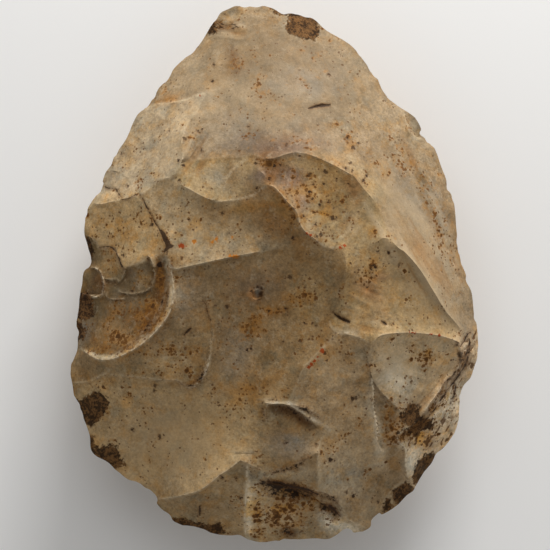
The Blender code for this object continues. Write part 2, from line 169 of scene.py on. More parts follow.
# Arrises: (lifts off the dome, spread along them, the ends that die out, points).
UPPER_ARRISES = {
    "brow_left": ((0, 0.6), "", [
        (-42.4, 16.4), (-40, 16.2), (-38, 16.6), (-35.1, 17.3), (-32.3, 17.8), (-30, 18.9),
        (-27, 21.4), (-25.2, 22.0), (-23.3, 22.1),
    ]),
    "brow_middle": ((0.6, 0, 0.3), "", [
        (-23.3, 22.1), (-22, 20.9), (-19, 19.2), (-16, 17.6), (-13.5, 16.8), (-11.8, 16.6),
        (-8, 17.2), (-5, 18.1), (-3.6, 19.0), (-1.5, 20.4),
    ]),
    "brow_right": ((0.3, 0.5, 0.8), "", [
        (-1.5, 20.4), (0.3, 19.6), (3.2, 16.3), (5.1, 14.3), (5.8, 11.8), (7.0, 9.8), (9.5, 7.8),
        (11.3, 6.5), (13, 6.0), (16, 6.4),
    ]),
    "brow_spur": ((0.3, 0.3), "both", [(-1.5, 20.4), (-2.2, 22.5), (-4, 24.5), (-5.2, 27.5)]),
    "upper_arc": ((0, 0.6, 0.6), "", [
        (-21.3, 25.6), (-18, 26.2), (-15, 26.6), (-10, 26.8), (-7.5, 26.9), (-5.2, 27.5),
        (-2.5, 26.5), (0, 26.5), (3, 27.5), (5.5, 27.8), (9, 27.0), (13.5, 25.0), (18.3, 22.4),
    ]),
    "crest": ((0.6, 1.8), "", [(18.3, 22.4), (20.5, 19.6), (23.5, 16), (25.2, 12), (26.6, 8)]),
    "crest_low": ((1.8, 2, 0.6), "", [
        (26.6, 8), (28.5, 6.0), (30.2, 4.8), (33.5, 1), (36.8, -4.2), (39.5, -8.5), (41.5, -10.8),
        (43.8, -13.6),
    ]),
    "crest_spur": ((0.4, 1.8), "start", [(22, 6.4), (23.4, 7.2), (24.8, 8.2), (26.6, 8)]),
    "middle_right": ((0.8, 0, -0.8), "", [
        (16, 6.4), (16.4, 2), (16.0, -2), (15.6, -5.5), (14, -8.6), (12.6, -10.4),
    ]),
    "flank": ((0.6, 0.8, 0.6), "", [
        (-23.3, 22.1), (-21.5, 25.3), (-21.0, 28), (-21.4, 30.5), (-20.3, 34.3), (-18.2, 37),
        (-16.8, 39.8), (-15.7, 41.8),
    ]),
    "flank_to_rim": ((0, 0.5), "", [
        (-30.2, 38.4), (-27, 39.3), (-23.5, 39.6), (-20.3, 40.3), (-18, 41.2), (-15.7, 41.8),
    ]),
    "flank_to_tip": ((0.6, 0.1), "end", [(-15.7, 41.8), (-13.5, 44.8), (-13, 48), (-14.5, 51), (-16, 54.3)]),
    "crack": ((0.2, 0.6), "", [
        (-31.1, 18.4), (-30.2, 17.0), (-28.8, 14.2), (-27.3, 11.6), (-25.6, 8.8), (-24.6, 6.8),
        (-24.6, 4.4),
    ]),
    "shelf": ((0.6, 0, -1.4), "end", [
        (-24.6, 4.4), (-23.8, 2.0), (-22.5, 1.2), (-20, 1.7), (-15, 2.8), (-10, 3.9), (-6, 4.6),
        (-1, 5.6), (3, 6.6),
    ]),
    "facet_low": ((0.5, -0.4), "", [
        (-24.6, 4.4), (-25.3, 3.5), (-26.2, 2.4), (-27.4, 1.7), (-27.9, 2.8), (-28.7, 4.2), (-29.6, 3.3),
        (-30.6, 2.7), (-32.6, 2.0), (-34.1, 1.4),
    ]),
    "facet_left": ((-0.4, -0.2), "", [
        (-34.1, 1.4), (-35.2, 2.0), (-36.2, 4.6), (-37.6, 6.3), (-40.0, 5.9), (-40.6, 6.1),
        (-41.6, 7.8), (-43.9, 8.8),
    ]),
    "hinge_lip": ((0.6, 0.1, -0.4), "", [
        (-24.6, 4.4), (-23.8, 1.2), (-23.2, -2), (-23.1, -5), (-23.7, -8), (-25.2, -10.8),
        (-27.4, -13.4), (-30, -15.8), (-32.4, -17.4), (-35, -18.7), (-37.5, -19.6),
        (-40, -19.8), (-42.4, -18.9), (-45.0, -17.1),
    ]),
    "hinge_wall": ((-0.5, -0.9, -0.9, -0.7), "both", [
        (-24.9, 2.6), (-24.9, -2), (-25.1, -5), (-26.0, -8.2), (-28.2, -12.0), (-30.6, -14.8),
        (-33.5, -17.0), (-36.5, -18.2), (-39.5, -18.5),
    ]),
    "hinge_floor": ((-1.8, -2.0, -1.8), "both", [
        (-27.6, 0.4), (-27.8, -4.6), (-29.4, -9), (-33.0, -13.6),
    ]),
    "left_chip": ((-0.3, -0.3), "", [
        (-42.6, 1.6), (-40.6, 0.9), (-39.6, -1), (-39.4, -3.4), (-40, -5.0), (-41.6, -5.3), (-45.0, -4.6),
    ]),
    "left_low": ((-1.8, -2, -1.4), "end", [
        (-39.5, -23), (-36.5, -23.3), (-34, -23.6), (-30, -23.9), (-26, -24.4), (-22.5, -24.5),
        (-20.5, -25.7), (-18.5, -25.5), (-17, -24.7), (-15.5, -22), (-14.9, -19.5), (-14.4, -15.5),
        (-14.1, -13), (-14.8, -9.5),
    ]),
    "left_low_rim": ((-1.8, 0), "", [(-39.5, -23), (-42, -24.7), (-44.4, -25.1), (-46.8, -25.2)]),
    "butt_left": ((0.6, 2.8, 2), "", [
        (-27.1, -52.2), (-24.5, -51.9), (-19.5, -50.7), (-17, -49.8), (-14.5, -48), (-12.5, -46.3),
        (-10.5, -45), (-7.8, -42.9),
    ]),
    "butt_middle": ((2, 0.8, 1.4), "", [
        (-7.8, -42.9), (-6.2, -43.6), (-3.8, -44.7), (-2.3, -45.8), (0, -45.4), (4, -44.3),
        (6.5, -43), (10, -41),
    ]),
    "butt_rib": ((1.4, 0.8, 0), "", [(-6.2, -43.6), (-6.3, -47), (-6.6, -52), (-6.8, -57), (-6.6, -61.5)]),
    "butt_step": ((0.8, 0.7, 0), "", [
        (-6.3, -48), (-3, -47.9), (-0.5, -48.0), (2.5, -48.8), (5, -49.2), (8, -49.6),
        (10.3, -50.1), (12, -50.7), (13.8, -51.7), (15.2, -53.1), (15.7, -55.5), (18, -57.5), (21.8, -59.2),
    ]),
    "butt_foot": ((-1.4, -1.2), "both", [
        (-1, -49.0), (2.5, -49.8), (5, -50.4), (8, -51.5), (10.3, -52.6), (13, -55.0), (15.0, -57.2),
    ]),
    "butt_right": ((1.4, 0.7), "", [(10, -41), (10.0, -44), (10.2, -47), (10.3, -50.1)]),
    "lens_lip": ((0.3, -0.1), "end", [
        (-2.2, -29.6), (0.3, -29.9), (3.0, -30.1), (6.5, -30.9), (9, -32.3), (11, -33.9), (12, -35),
    ]),
    "lens_foot": ((-1.1, -0.9), "both", [(0.0, -31.0), (3, -31.4), (6, -33.0), (8.5, -34.9), (10.0, -36.2)]),
    "right_low": ((0.1, -0.2, 0.6), "", [
        (3, -30.1), (4, -28), (5.3, -25), (6.5, -22.3), (8, -20.3), (11.5, -16.6), (13.5, -14.7),
        (15, -13.6),
    ]),
    "right_neck": ((-0.8, 0.8, 1.2), "", [
        (12.6, -10.4), (13.2, -12.2), (15, -13.6), (17.5, -14), (20, -14.8), (22.4, -16.1),
    ]),
    "oval_top": ((1.2, 2.2, 1.8), "", [
        (22.4, -16.1), (24.0, -14.4), (26, -13.8), (30, -13.5), (34, -13.7), (37.5, -14.1),
        (40.5, -14.9), (42.4, -15.6),
    ]),
    "oval_left": ((1.2, 0.4, 1), "", [
        (22.4, -16.1), (21.9, -18.5), (21.8, -20.5), (22.3, -23), (23.5, -25.5), (25, -27.5),
        (27, -29.5), (29.9, -32.4),
    ]),
    "oval_right": ((1.8, 1.8, 1.4), "", [
        (42.4, -15.6), (43.0, -17.5), (43.2, -19.5), (42.5, -21.7), (41, -23.5), (39, -25.6),
        (37.8, -27.5), (36, -29.8), (34, -32.8), (31.4, -35.4),
    ]),
    "right_rib": ((0.2, 0.4), "end", [
        (22.3, -23), (22.8, -27), (22.7, -30), (23, -32.5), (23.5, -35), (23.5, -37.5),
        (24.0, -39.5), (24.7, -41.2),
    ]),
    "right_butt": ((1.4, 1, 0), "", [
        (31.4, -35.4), (29.5, -36.3), (28.4, -37.6), (28.8, -38.9), (30.3, -40.3), (30.3, -43),
        (30.6, -45.6), (31.2, -47.6),
    ]),
    "right_band": ((0.2, 0.2), "both", [
        (34.6, 31.3), (32.5, 28), (33.8, 24), (35.8, 20.8), (38.2, 17.5), (39.2, 12), (40.2, 6),
        (41.8, 2), (43.0, -3), (44.4, -9), (45.6, -12.8),
    ]),
}
LOWER_ARRISES = {
    "keel_tip": ((-0.5, 0.9), "start", [(-3, 55), (-6, 42), (-3, 28), (4, 15)]),
    "keel_middle": ((0.9, 0.6, 0.4, 0.2), "", [(4, 15), (3, 4), (0, -9), (-5, -22)]),
    "keel_butt": ((0.2, 0), "", [(-5, -22), (-1, -38), (7, -50), (9, -60)]),
    "left_shoulder": ((0.4, 0), "", [(-3, 28), (-17, 31), (-31, 36)]),
    "left_upper": ((0.9, 0), "", [(4, 15), (-12, 13), (-28, 7), (-42, 8)]),
    "left_lower": ((0.4, 0), "", [(0, -9), (-16, -10), (-30, -16), (-45, -15)]),
    "left_heel": ((0.2, 0), "", [(-5, -22), (-18, -32), (-27, -44), (-31, -48)]),
    "right_shoulder": ((0.9, 0), "", [(4, 15), (14, 27), (22, 40), (24, 43)]),
    "right_upper": ((0.6, 0), "", [(3, 4), (24, 6), (41, 11)]),
    "right_lower": ((0.4, 0), "", [(0, -9), (18, -15), (32, -13), (46, -12)]),
    "right_heel": ((0.3, 0), "", [(-1, -38), (14, -36), (28, -42), (36, -44)]),
}


# Lines worked into the upper face after that: (left, right, the ends that die out, points or an arris's
# name). Left and right are (height, reach): how much the ground beside the line rises or drops, and how
# far out that dies away.
LINES = {
    "stain_inner": ((0, 1), (-0.2, 2.5), "both", [(-6.2, 26.8), (-9.8, 23.5), (-11.6, 19.4), (-12, 17.2)]),
    "plate_crack": ((-0.25, 0.3), (-0.35, 1.6), "", [
        (-40.3, 20.8), (-38.6, 19.9), (-36.8, 19.6), (-35.9, 18.4), (-35.1, 17.3),
    ]),
    "crack_groove": ((-0.22, 0.25), (-0.22, 0.25), "", "crack"),
    "plate_foot": ((-0.55, 1.6), (0.1, 0.5), "", [
        (-34.3, 1.5), (-34.5, 0.2), (-35.6, -1.8), (-36.2, -1.3), (-37.8, -1.3), (-39.2, -1.1),
    ]),
    "slot_side": ((0.35, 0.5), (-0.7, 1.3), "", [
        (-28.7, 4.2), (-28.1, 2.6), (-27.7, 1.2), (-27.5, -0.2), (-27.8, -1.8), (-28.4, -3.2),
    ]),
    "terrace": ((0.2, 0.4), (-0.6, 2.0), "start", [
        (-36.6, -3.6), (-35.6, -4.2), (-34, -4.5), (-32.6, -4.6), (-29.9, -4.1), (-28.4, -3.2),
    ]),
    "ledge": ((0.15, 0.4), (-0.4, 1.5), "both", [
        (-39.4, -4.6), (-38.4, -5.5), (-37.2, -5.9), (-34.9, -5.8), (-33.2, -5.0),
    ]),
    "hinge_inner": ((0.15, 0.4), (0.1, 0.4), "both", [
        (-24.8, 3.6), (-24.5, 1.4), (-24.7, -2.9), (-25.4, -5.4), (-26.4, -8.2), (-28.6, -11.6),
        (-30.8, -14.2), (-33.4, -16.2), (-36.2, -17.6),
    ]),
    "chip_side": ((0.25, 0.5), (-0.7, 1.5), "", "left_chip"),
    "low_side": ((-0.45, 1.2), (0, 1), "both", [
        (-19.4, -25.4), (-17.5, -24.4), (-15.3, -19.9), (-14.4, -15.5), (-14.1, -13), (-14.8, -9.5),
    ]),
    "low_edge": ((0, 1), (-0.3, 2.5), "end", [
        (-39.5, -23), (-34, -23.6), (-26, -24.4), (-22.5, -24.5), (-20.5, -25.7),
    ]),
    "low_rim_edge": ((-0.45, 1.8), (0.1, 0.5), "", "left_low_rim"),
    "crest_band": ((-0.28, 2.4), (0, 1.0), "both", [
        (24, 32), (27.5, 27), (30.5, 22.6), (33.2, 20.4), (35.6, 18.6), (38, 13.6), (39.8, 7.9), (42, 1.5),
    ]),
    "lens": ((0.2, 0.6), (-1.5, 2.0), "end", [
        (-1.3, -29.9), (2.3, -29.9), (5.4, -31.3), (7.9, -33.1), (10.2, -35.6),
    ]),
    "lens_second": ((0, 1), (-0.4, 0.7), "both", [(3.4, -29.9), (7.4, -30.9), (9.9, -32.2), (12, -34.2)]),
    "lens_left": ((-0.35, 1.4), (0, 1), "end", [(-1.3, -29.9), (-2.3, -31.8), (-1.9, -34.2)]),
    "lens_tail": ((0, 1), (-0.2, 0.8), "both", [(-4.4, -28.9), (-1.5, -28.9), (0.9, -28.6)]),
    "low_line": ((0, 1), (-0.25, 1.0), "both", [(-11, -40.5), (-9, -41), (-4, -41), (-2.9, -40.3)]),
    "low_line_side": ((-0.2, 0.8), (0, 1), "both", [(-3.2, -40.8), (-3.4, -42.4), (-3.9, -44.3)]),
    "butt_crevice": ((0.1, 0.5), (-1.6, 1.6), "start", [
        (-5.7, -48.0), (0.4, -48.1), (3.9, -49.2), (6.9, -49.8), (8.5, -50.6), (10.5, -52.3),
        (12, -53.6), (14, -55.1), (15.5, -56.5),
    ]),
    "butt_terrace": ((0, 1), (-0.6, 0.9), "start", [
        (7.9, -49.2), (10.5, -50), (13, -51.2), (15, -52.9), (15.8, -55),
    ]),
    "neck_crevice": ((-0.35, 0.5), (-0.35, 0.5), "both", [(13.2, -8.4), (14.8, -10.0), (17.7, -11.4)]),
    "rib_edge": ((-0.9, 2.2), (0.2, 0.9), "start", "right_rib"),
    "butt_right_side": ((0.05, 0.5), (-0.3, 1.6), "both", [
        (11.6, -36.5), (10.4, -39), (10, -41), (10.0, -44), (10.2, -47), (10.3, -50.1),
    ]),
    "oval_side": ((0.1, 0.5), (-0.4, 1.2), "both", "oval_left"),
    "flank_side": ((-0.15, 1.0), (0.05, 0.5), "", "flank_to_rim"),
    "butt_right_edge": ((0.1, 1), (-0.5, 1.8), "", [
        (30.3, -40.3), (30.3, -43), (30.6, -45.6), (31.2, -47.6),
    ]),
    "band_line": ((-0.2, 0.5), (-0.2, 0.4), "end", [
        (43.8, -13.8), (45.0, -15), (45.2, -17), (44.6, -20), (43.0, -23), (40.6, -26), (38, -29.5),
    ]),
    "band_branch": ((-0.2, 0.4), (-0.2, 0.4), "end", [
        (43.0, -17.0), (44.0, -15.8), (44.8, -14.2), (45.9, -13.4),
    ]),
    "right_chip": ((-0.35, 2.0), (0, 1), "", [(30.0, 37.6), (31, 34), (32.5, 32), (34.6, 31)]),
    "left_chip_top": ((-0.3, 1.2), (0, 1), "end", [
        (-33.8, 32.8), (-32, 34), (-30.8, 35.5), (-30.2, 37), (-29, 38.8),
    ]),
    "flank_line": ((0.05, 0.8), (-0.06, 2.0), "both", [
        (-30.4, 38.6), (-28, 37), (-26, 35.9), (-23.9, 34.7), (-22.4, 33.2),
    ]),
    "flank_second": ((0.1, 0.8), (-0.1, 1.6), "both", [
        (-33.8, 32.6), (-31.5, 31.6), (-29.6, 29.4), (-28.6, 26.4),
    ]),
    "flank_third": ((0.1, 0.8), (-0.1, 1.6), "both", [(-38.8, 24), (-36, 23.6), (-33.4, 21.8), (-32, 19.4)]),
    "tip_line": ((0, 1), (-0.15, 0.8), "both", [(-12.5, 58.2), (-10.5, 58.6), (-8.2, 57.3), (-6, 57.6)]),
    "tip_edge": ((0.1, 0.5), (-0.15, 1.0), "both", [(1.6, 57.1), (2.9, 58.0), (4.2, 59.6)]),
    "corner_line": ((-0.3, 1.2), (0, 1), "", [
        (24.6, -54.9), (25.8, -52.3), (27.2, -50.2), (29, -48.7), (31.2, -47.6),
    ]),
    "corner_branch": ((-0.25, 0.8), (0.1, 0.4), "", [(26.4, -51.3), (27.4, -52.2), (27.1, -54.4)]),
    "butt_right_foot": ((-0.3, 1.4), (0, 1), "both", [(11, -53.5), (11, -55.5), (11.3, -58), (12.5, -60)]),
}
# Ground hollowed out to the right of a line without a step: (depth, reach, the ends that die out, an
# arris's name or points).
UNDERCUTS = [
    (0.6, 1.8, "", "brow_left+brow_middle+brow_right"),
    (0.5, 1.6, "", "butt_left"),
    (0.5, 1.5, "", "oval_top"),
    (0.35, 1.5, "start", "crest_low"),
    (0.4, 1.5, "end", "shelf"),
    (0.1, 1.5, "both", "upper_arc"),
    (0.8, 1.6, "both", "oval_right"),
    (0.6, 1.2, "both", "right_rib"),
    (0.35, 1.2, "both", "left_low"),
]
# Short dark grooves: (depth, half width, points).
GROOVES = [
    (0.25, 0.22, [(7.9, 38.0), (10.2, 38.6), (13.3, 39.0)]),
    (0.2, 0.22, [(24.6, -10.8), (25.8, -11.7)]),
    (0.2, 0.22, [(-21, -14.5), (-19.8, -13.1), (-18.8, -12.2)]),
    (0.12, 0.2, [(-17.3, -53.3), (-17.2, -56)]),
    (0.3, 0.28, [(13.6, -8.9), (15.0, -10.0), (17.5, -11.2)]),
    (0.12, 0.2, [(-14.6, 44.0), (-13.9, 45.0)]),
]

# Small flakes struck off the upper face: (x, y, half length, half width, turn in degrees, depth).
CHIPS = [
    (-35.6, 27.0, 3.6, 2.2, 62, 0.35), (-32.6, 32.6, 3.0, 2.0, 58, 0.3),
    (-38.5, 22.6, 2.4, 1.8, 50, 0.3), (-25.6, 43.0, 2.6, 1.5, 40, 0.25),
    (-18.6, 50.6, 3.2, 1.6, 45, 0.3), (-15.2, 56.0, 2.4, 1.6, 62, 0.3),
    (-9.6, 60.2, 2.8, 1.4, 8, 0.3), (-3.6, 60.6, 2.6, 1.3, 0, 0.25),
    (33.0, 34.2, 3.2, 2.0, -45, 0.3), (37.4, 25.2, 3.4, 1.9, -65, 0.3),
    (39.8, 18.0, 2.8, 1.6, -75, 0.3), (41.0, 11.6, 2.4, 1.3, -82, 0.25),
    (37.9, 9.5, 0.9, 0.6, -70, 0.25), (40.1, 5.5, 0.9, 0.6, -70, 0.25),
    (41.5, 2.4, 0.9, 0.6, -70, 0.25), (42.9, -0.5, 0.9, 0.6, -70, 0.25),
    (-43.2, 12.4, 2.0, 1.6, 80, 0.3), (-41.6, 5.9, 1.6, 1.3, 90, 0.3),
    (-45.6, -21.6, 2.6, 1.8, 90, 0.3), (-40.6, -42.0, 2.4, 1.4, -50, 0.3),
    (-31.4, -48.4, 3.0, 1.5, -30, 0.25), (-21.6, -57.2, 3.2, 1.6, -15, 0.35),
    (-15.4, -59.2, 2.6, 1.3, -10, 0.3), (-1.6, -60.6, 3.4, 1.7, 0, 0.3),
    (5.6, -60.0, 3.0, 1.8, 0, 0.3), (13.6, -59.6, 2.6, 1.6, 10, 0.3),
    (19.6, -58.6, 2.2, 1.4, 15, 0.3), (26.6, -53.4, 1.6, 1.2, 40, 0.3),
    (35.2, -43.6, 2.0, 1.3, 55, 0.3), (44.8, -27.0, 2.2, 1.4, 62, 0.25),
    (-3.9, -4.8, 1.4, 1.1, 20, 1.0),
]
BAND_GRAIN = 55.0  # direction of the creases in the rind, in degrees
CREASE_STRETCH = 5.0  # how much longer than wide they are
CREASE_NOISE = (1.7, 31, 4)  # (size, seed, octaves)
SMOOTH_RIND = (42.4, -29.0, 5.5, 2.6, 62.0)  # the oval where they hardly show
RIM_CHIPS = 64  # small chips knocked off along the rim
CHIP_SEED = 5
CHIP_LENGTHS = (0.8, 2.6)  # the least and the greatest half length
CHIP_WIDTHS = (0.5, 0.9)  # half width, as a share of that
CHIP_DEPTHS = (0.1, 0.32)
CHIP_BITE = 0.8  # how far a chip bites into the rim, as a share of its depth
# Where the surface is drawn out into ridges: (x, y, half length, half width, their direction, how much
# longer than wide they are, their width, their height).
STREAKS = [
    (31.5, 5.5, 21.0, 5.5, -57.5, 12, 1.1, 0.26),
    (36.5, 14.0, 20.0, 4.0, -66.0, 5, 1.6, 0.22),
    (-18.0, 27.5, 6.0, 4.0, 62.0, 6, 1.0, 0.34),
    (16.5, 9.5, 5.0, 3.5, 48.0, 7, 0.8, 0.14),
    (-33.0, 26.0, 9.0, 5.0, 25.0, 5, 1.4, 0.10),
    (20.5, -6.0, 4.0, 9.0, -25.0, 7, 0.9, 0.14),
    (25.0, -12.5, 8.0, 2.5, -12.0, 7, 0.9, 0.14),
    (-21.0, 37.5, 9.0, 4.0, 40.0, 6, 1.2, 0.12),
    (33.0, -30.0, 15.0, 3.0, 52.0, 6, 1.1, 0.30),
    (-11.0, 57.0, 5.0, 3.0, -10.0, 5, 1.0, 0.20),
]
# Ripples that spread from where a flake was struck: (x, y, the oval they show in, distance apart, height).
RIPPLES = [
    (-44.0, -47.0, (-24.0, -37.0, 19.0, 11.0, 0), 3.6, 0.05),
    (-42.0, 30.0, (-30.0, 27.0, 9.0, 8.0, 0), 2.6, 0.05),
    (28.0, -58.0, (14.0, -32.0, 8.0, 18.0, 0), 4.2, 0.05),
    (48.0, 2.0, (27.0, -3.0, 9.0, 8.0, 0), 2.8, 0.06),
    (10.0, 66.0, (4.0, 44.0, 18.0, 14.0, 0), 5.0, 0.05),
    (-46.0, -6.0, (-34.0, -10.0, 7.0, 7.0, 0), 2.0, 0.07),
    (36.0, -14.0, (32.0, -22.0, 8.0, 8.0, 0), 2.4, 0.05),
    (-30.0, 24.0, (-12.0, 9.0, 12.0, 6.0, 0), 3.0, 0.05),
]


# ---------------------------------------------------------------- patina, stains and painted shade

TONES = {
    "bleached": (0.62, 0.50, 0.33),
    "cream": (0.340, 0.245, 0.142),
    "flank_cream": (0.455, 0.340, 0.208),
    "tip_buff": (0.208, 0.142, 0.075),
    "buff": (0.39, 0.270, 0.130),
    "scar_buff": (0.47, 0.315, 0.145),
    "grey_buff": (0.42, 0.300, 0.165),
    "left_buff": (0.52, 0.350, 0.170),
    "hinge_brown": (0.19, 0.125, 0.054),
    "low_buff": (0.46, 0.310, 0.150),
    "oval_buff": (0.58, 0.41, 0.225),
    "right_buff": (0.41, 0.280, 0.148),
    "butt_brown": (0.36, 0.245, 0.122),
    "brown_buff": (0.31, 0.200, 0.092),
    # shaded_buff is painted shade, laid where the surface lies in shade; it is also the tone of one stain at
    # the tip
    "shaded_buff": (0.21, 0.132, 0.060),
    "pink_grey": (0.140, 0.090, 0.058),
    "pale_pink": (0.31, 0.200, 0.135),
    "peach": (0.46, 0.245, 0.105),
    "blue_grey": (0.22, 0.200, 0.165),
    "chalk": (0.90, 0.78, 0.58),
    "rind_cream": (0.78, 0.58, 0.36),
    "rind_brown": (0.36, 0.215, 0.105),
    "honey": (0.30, 0.155, 0.040),
    "ochre": (0.34, 0.150, 0.028),
    "orange": (0.27, 0.110, 0.028),
    "rust": (0.135, 0.053, 0.010),
    "speck": (0.120, 0.066, 0.032),
    "umber": (0.050, 0.022, 0.007),
    "pitch": (0.034, 0.016, 0.007),
    "dark_crust": (0.028, 0.012, 0.004),
    "light_crust": (0.165, 0.078, 0.026),
    # the black-brown of the seams: dirt along most, painted shadow in the butt crevice and under the lens lip
    "seam_dirt_and_shadow": (0.018, 0.008, 0.003),
    "orange_drop": (0.44, 0.145, 0.010),
    "red_drop": (0.30, 0.052, 0.008),
}
# Tones that the colour below is multiplied by.
GLAZES = {
    "grey": (0.74, 0.85, 1.0),
    "ochre": (1.04, 0.74, 0.30),
    "dust": (0.92, 0.78, 0.52),
    "furrow": (0.76, 0.58, 0.40),
}

# The tone of each scar: (tone, its edge as arrises, reversed ones with a minus, and corner points).
# A later scar covers an earlier one. It ends sharply at an arris, and softly between two corners.
SCARS = [
    ("cream", [
        (-52, 16.4), "brow_left", "upper_arc", "crest", "crest_low", (52, -13.6), (52, 70), (-52, 70),
    ]),
    ("flank_cream", [(-52, 16.4), "brow_left", "flank", "-flank_to_rim", (-52, 30)]),
    ("buff", ["brow_middle", "brow_right", (19.5, 3.5), "crest_spur", "-crest", "-upper_arc"]),
    ("scar_buff", ["crest_low", "-oval_top", "-right_neck", "-middle_right", (19.5, 3.5), "crest_spur"]),
    ("left_buff", [
        (-52, 16.4), (-42.4, 16.4), (-35.1, 17.3), (-31.1, 18.6), "crack", "facet_low", "facet_left",
        (-52, 8.8),
    ]),
    ("grey_buff", ["-crack", (-27, 21.4), "brow_middle", (-1, 12), (3, 6.6), "-shelf"]),
    ("hinge_brown", ["hinge_lip", (-52, -17), (-52, 8.8), "-facet_left", "-facet_low"]),
    ("bleached", ["hinge_lip", [
        (-45, -17.1), (-42.4, -18.1), (-39.8, -18.9), (-37.4, -18.7), (-35, -17.8), (-32.6, -16.4),
        (-30.3, -14.8), (-27.9, -12.5), (-25.9, -10), (-24.6, -7.5), (-24.1, -5), (-24.1, -2), (-24.6, 1.2),
    ]]),
    ("brown_buff", [
        "hinge_lip", (-52, -17.2), (-52, -25.2), "-left_low_rim", "left_low", (-16, -4), (-20, 2),
    ]),
    ("low_buff", [
        (-52, -25.2), "-left_low_rim", (-30, -23.9), (-20.5, -25.7), (-17, -26), (-8, -27), (-2.2, -29.6),
        (-2, -34), (-3.2, -40.8), (-3.9, -44.3), "-butt_left", (-30, -60), (-52, -50),
    ]),
    ("right_buff", [
        "right_low", (17.5, -14), (21.9, -18.5), "right_rib", (25, -48), (24, -59), "-butt_step",
        "-butt_right", (12, -35), "-lens_lip",
    ]),
    ("oval_buff", ["oval_top", "oval_right", (29.9, -32.4), "-oval_left"]),
    ("right_buff", [
        (22.3, -23), (25, -27.5), (29.9, -32.4), "right_butt", (27, -50), (24.5, -56), "-right_rib",
    ]),
    ("rind_cream", [
        (43.8, -13.6), "oval_right", (30.3, -40.3), (31.2, -47.6), (40, -60), (60, -30), (52, -13),
    ]),
    ("butt_brown", ["butt_left", "butt_rib", (-7, -68), (-35, -60)]),
    ("brown_buff", ["butt_middle", "butt_right", "-butt_step"]),
    ("butt_brown", ["butt_step", (22, -66), (-7, -68), "-butt_rib"]),
]
# Painted shade laid over some scars, which covers the washes: (tone, strength, edge).
SHADED_SCARS = [
    ("shaded_buff", 0.55, ["oval_left", (28.4, -37.6), (25, -41), "-right_rib"]),
    ("shaded_buff", 0.2, ["butt_middle", "butt_right", [
        (10.3, -50.1), (8, -49.6), (5, -49.2), (2.5, -48.8), (-0.5, -48.0), (-3, -47.9), (-6.3, -48),
    ]]),
    ("shaded_buff", 0.5, [(25, -41), "right_butt", (27, -50), (24.5, -50)]),
]
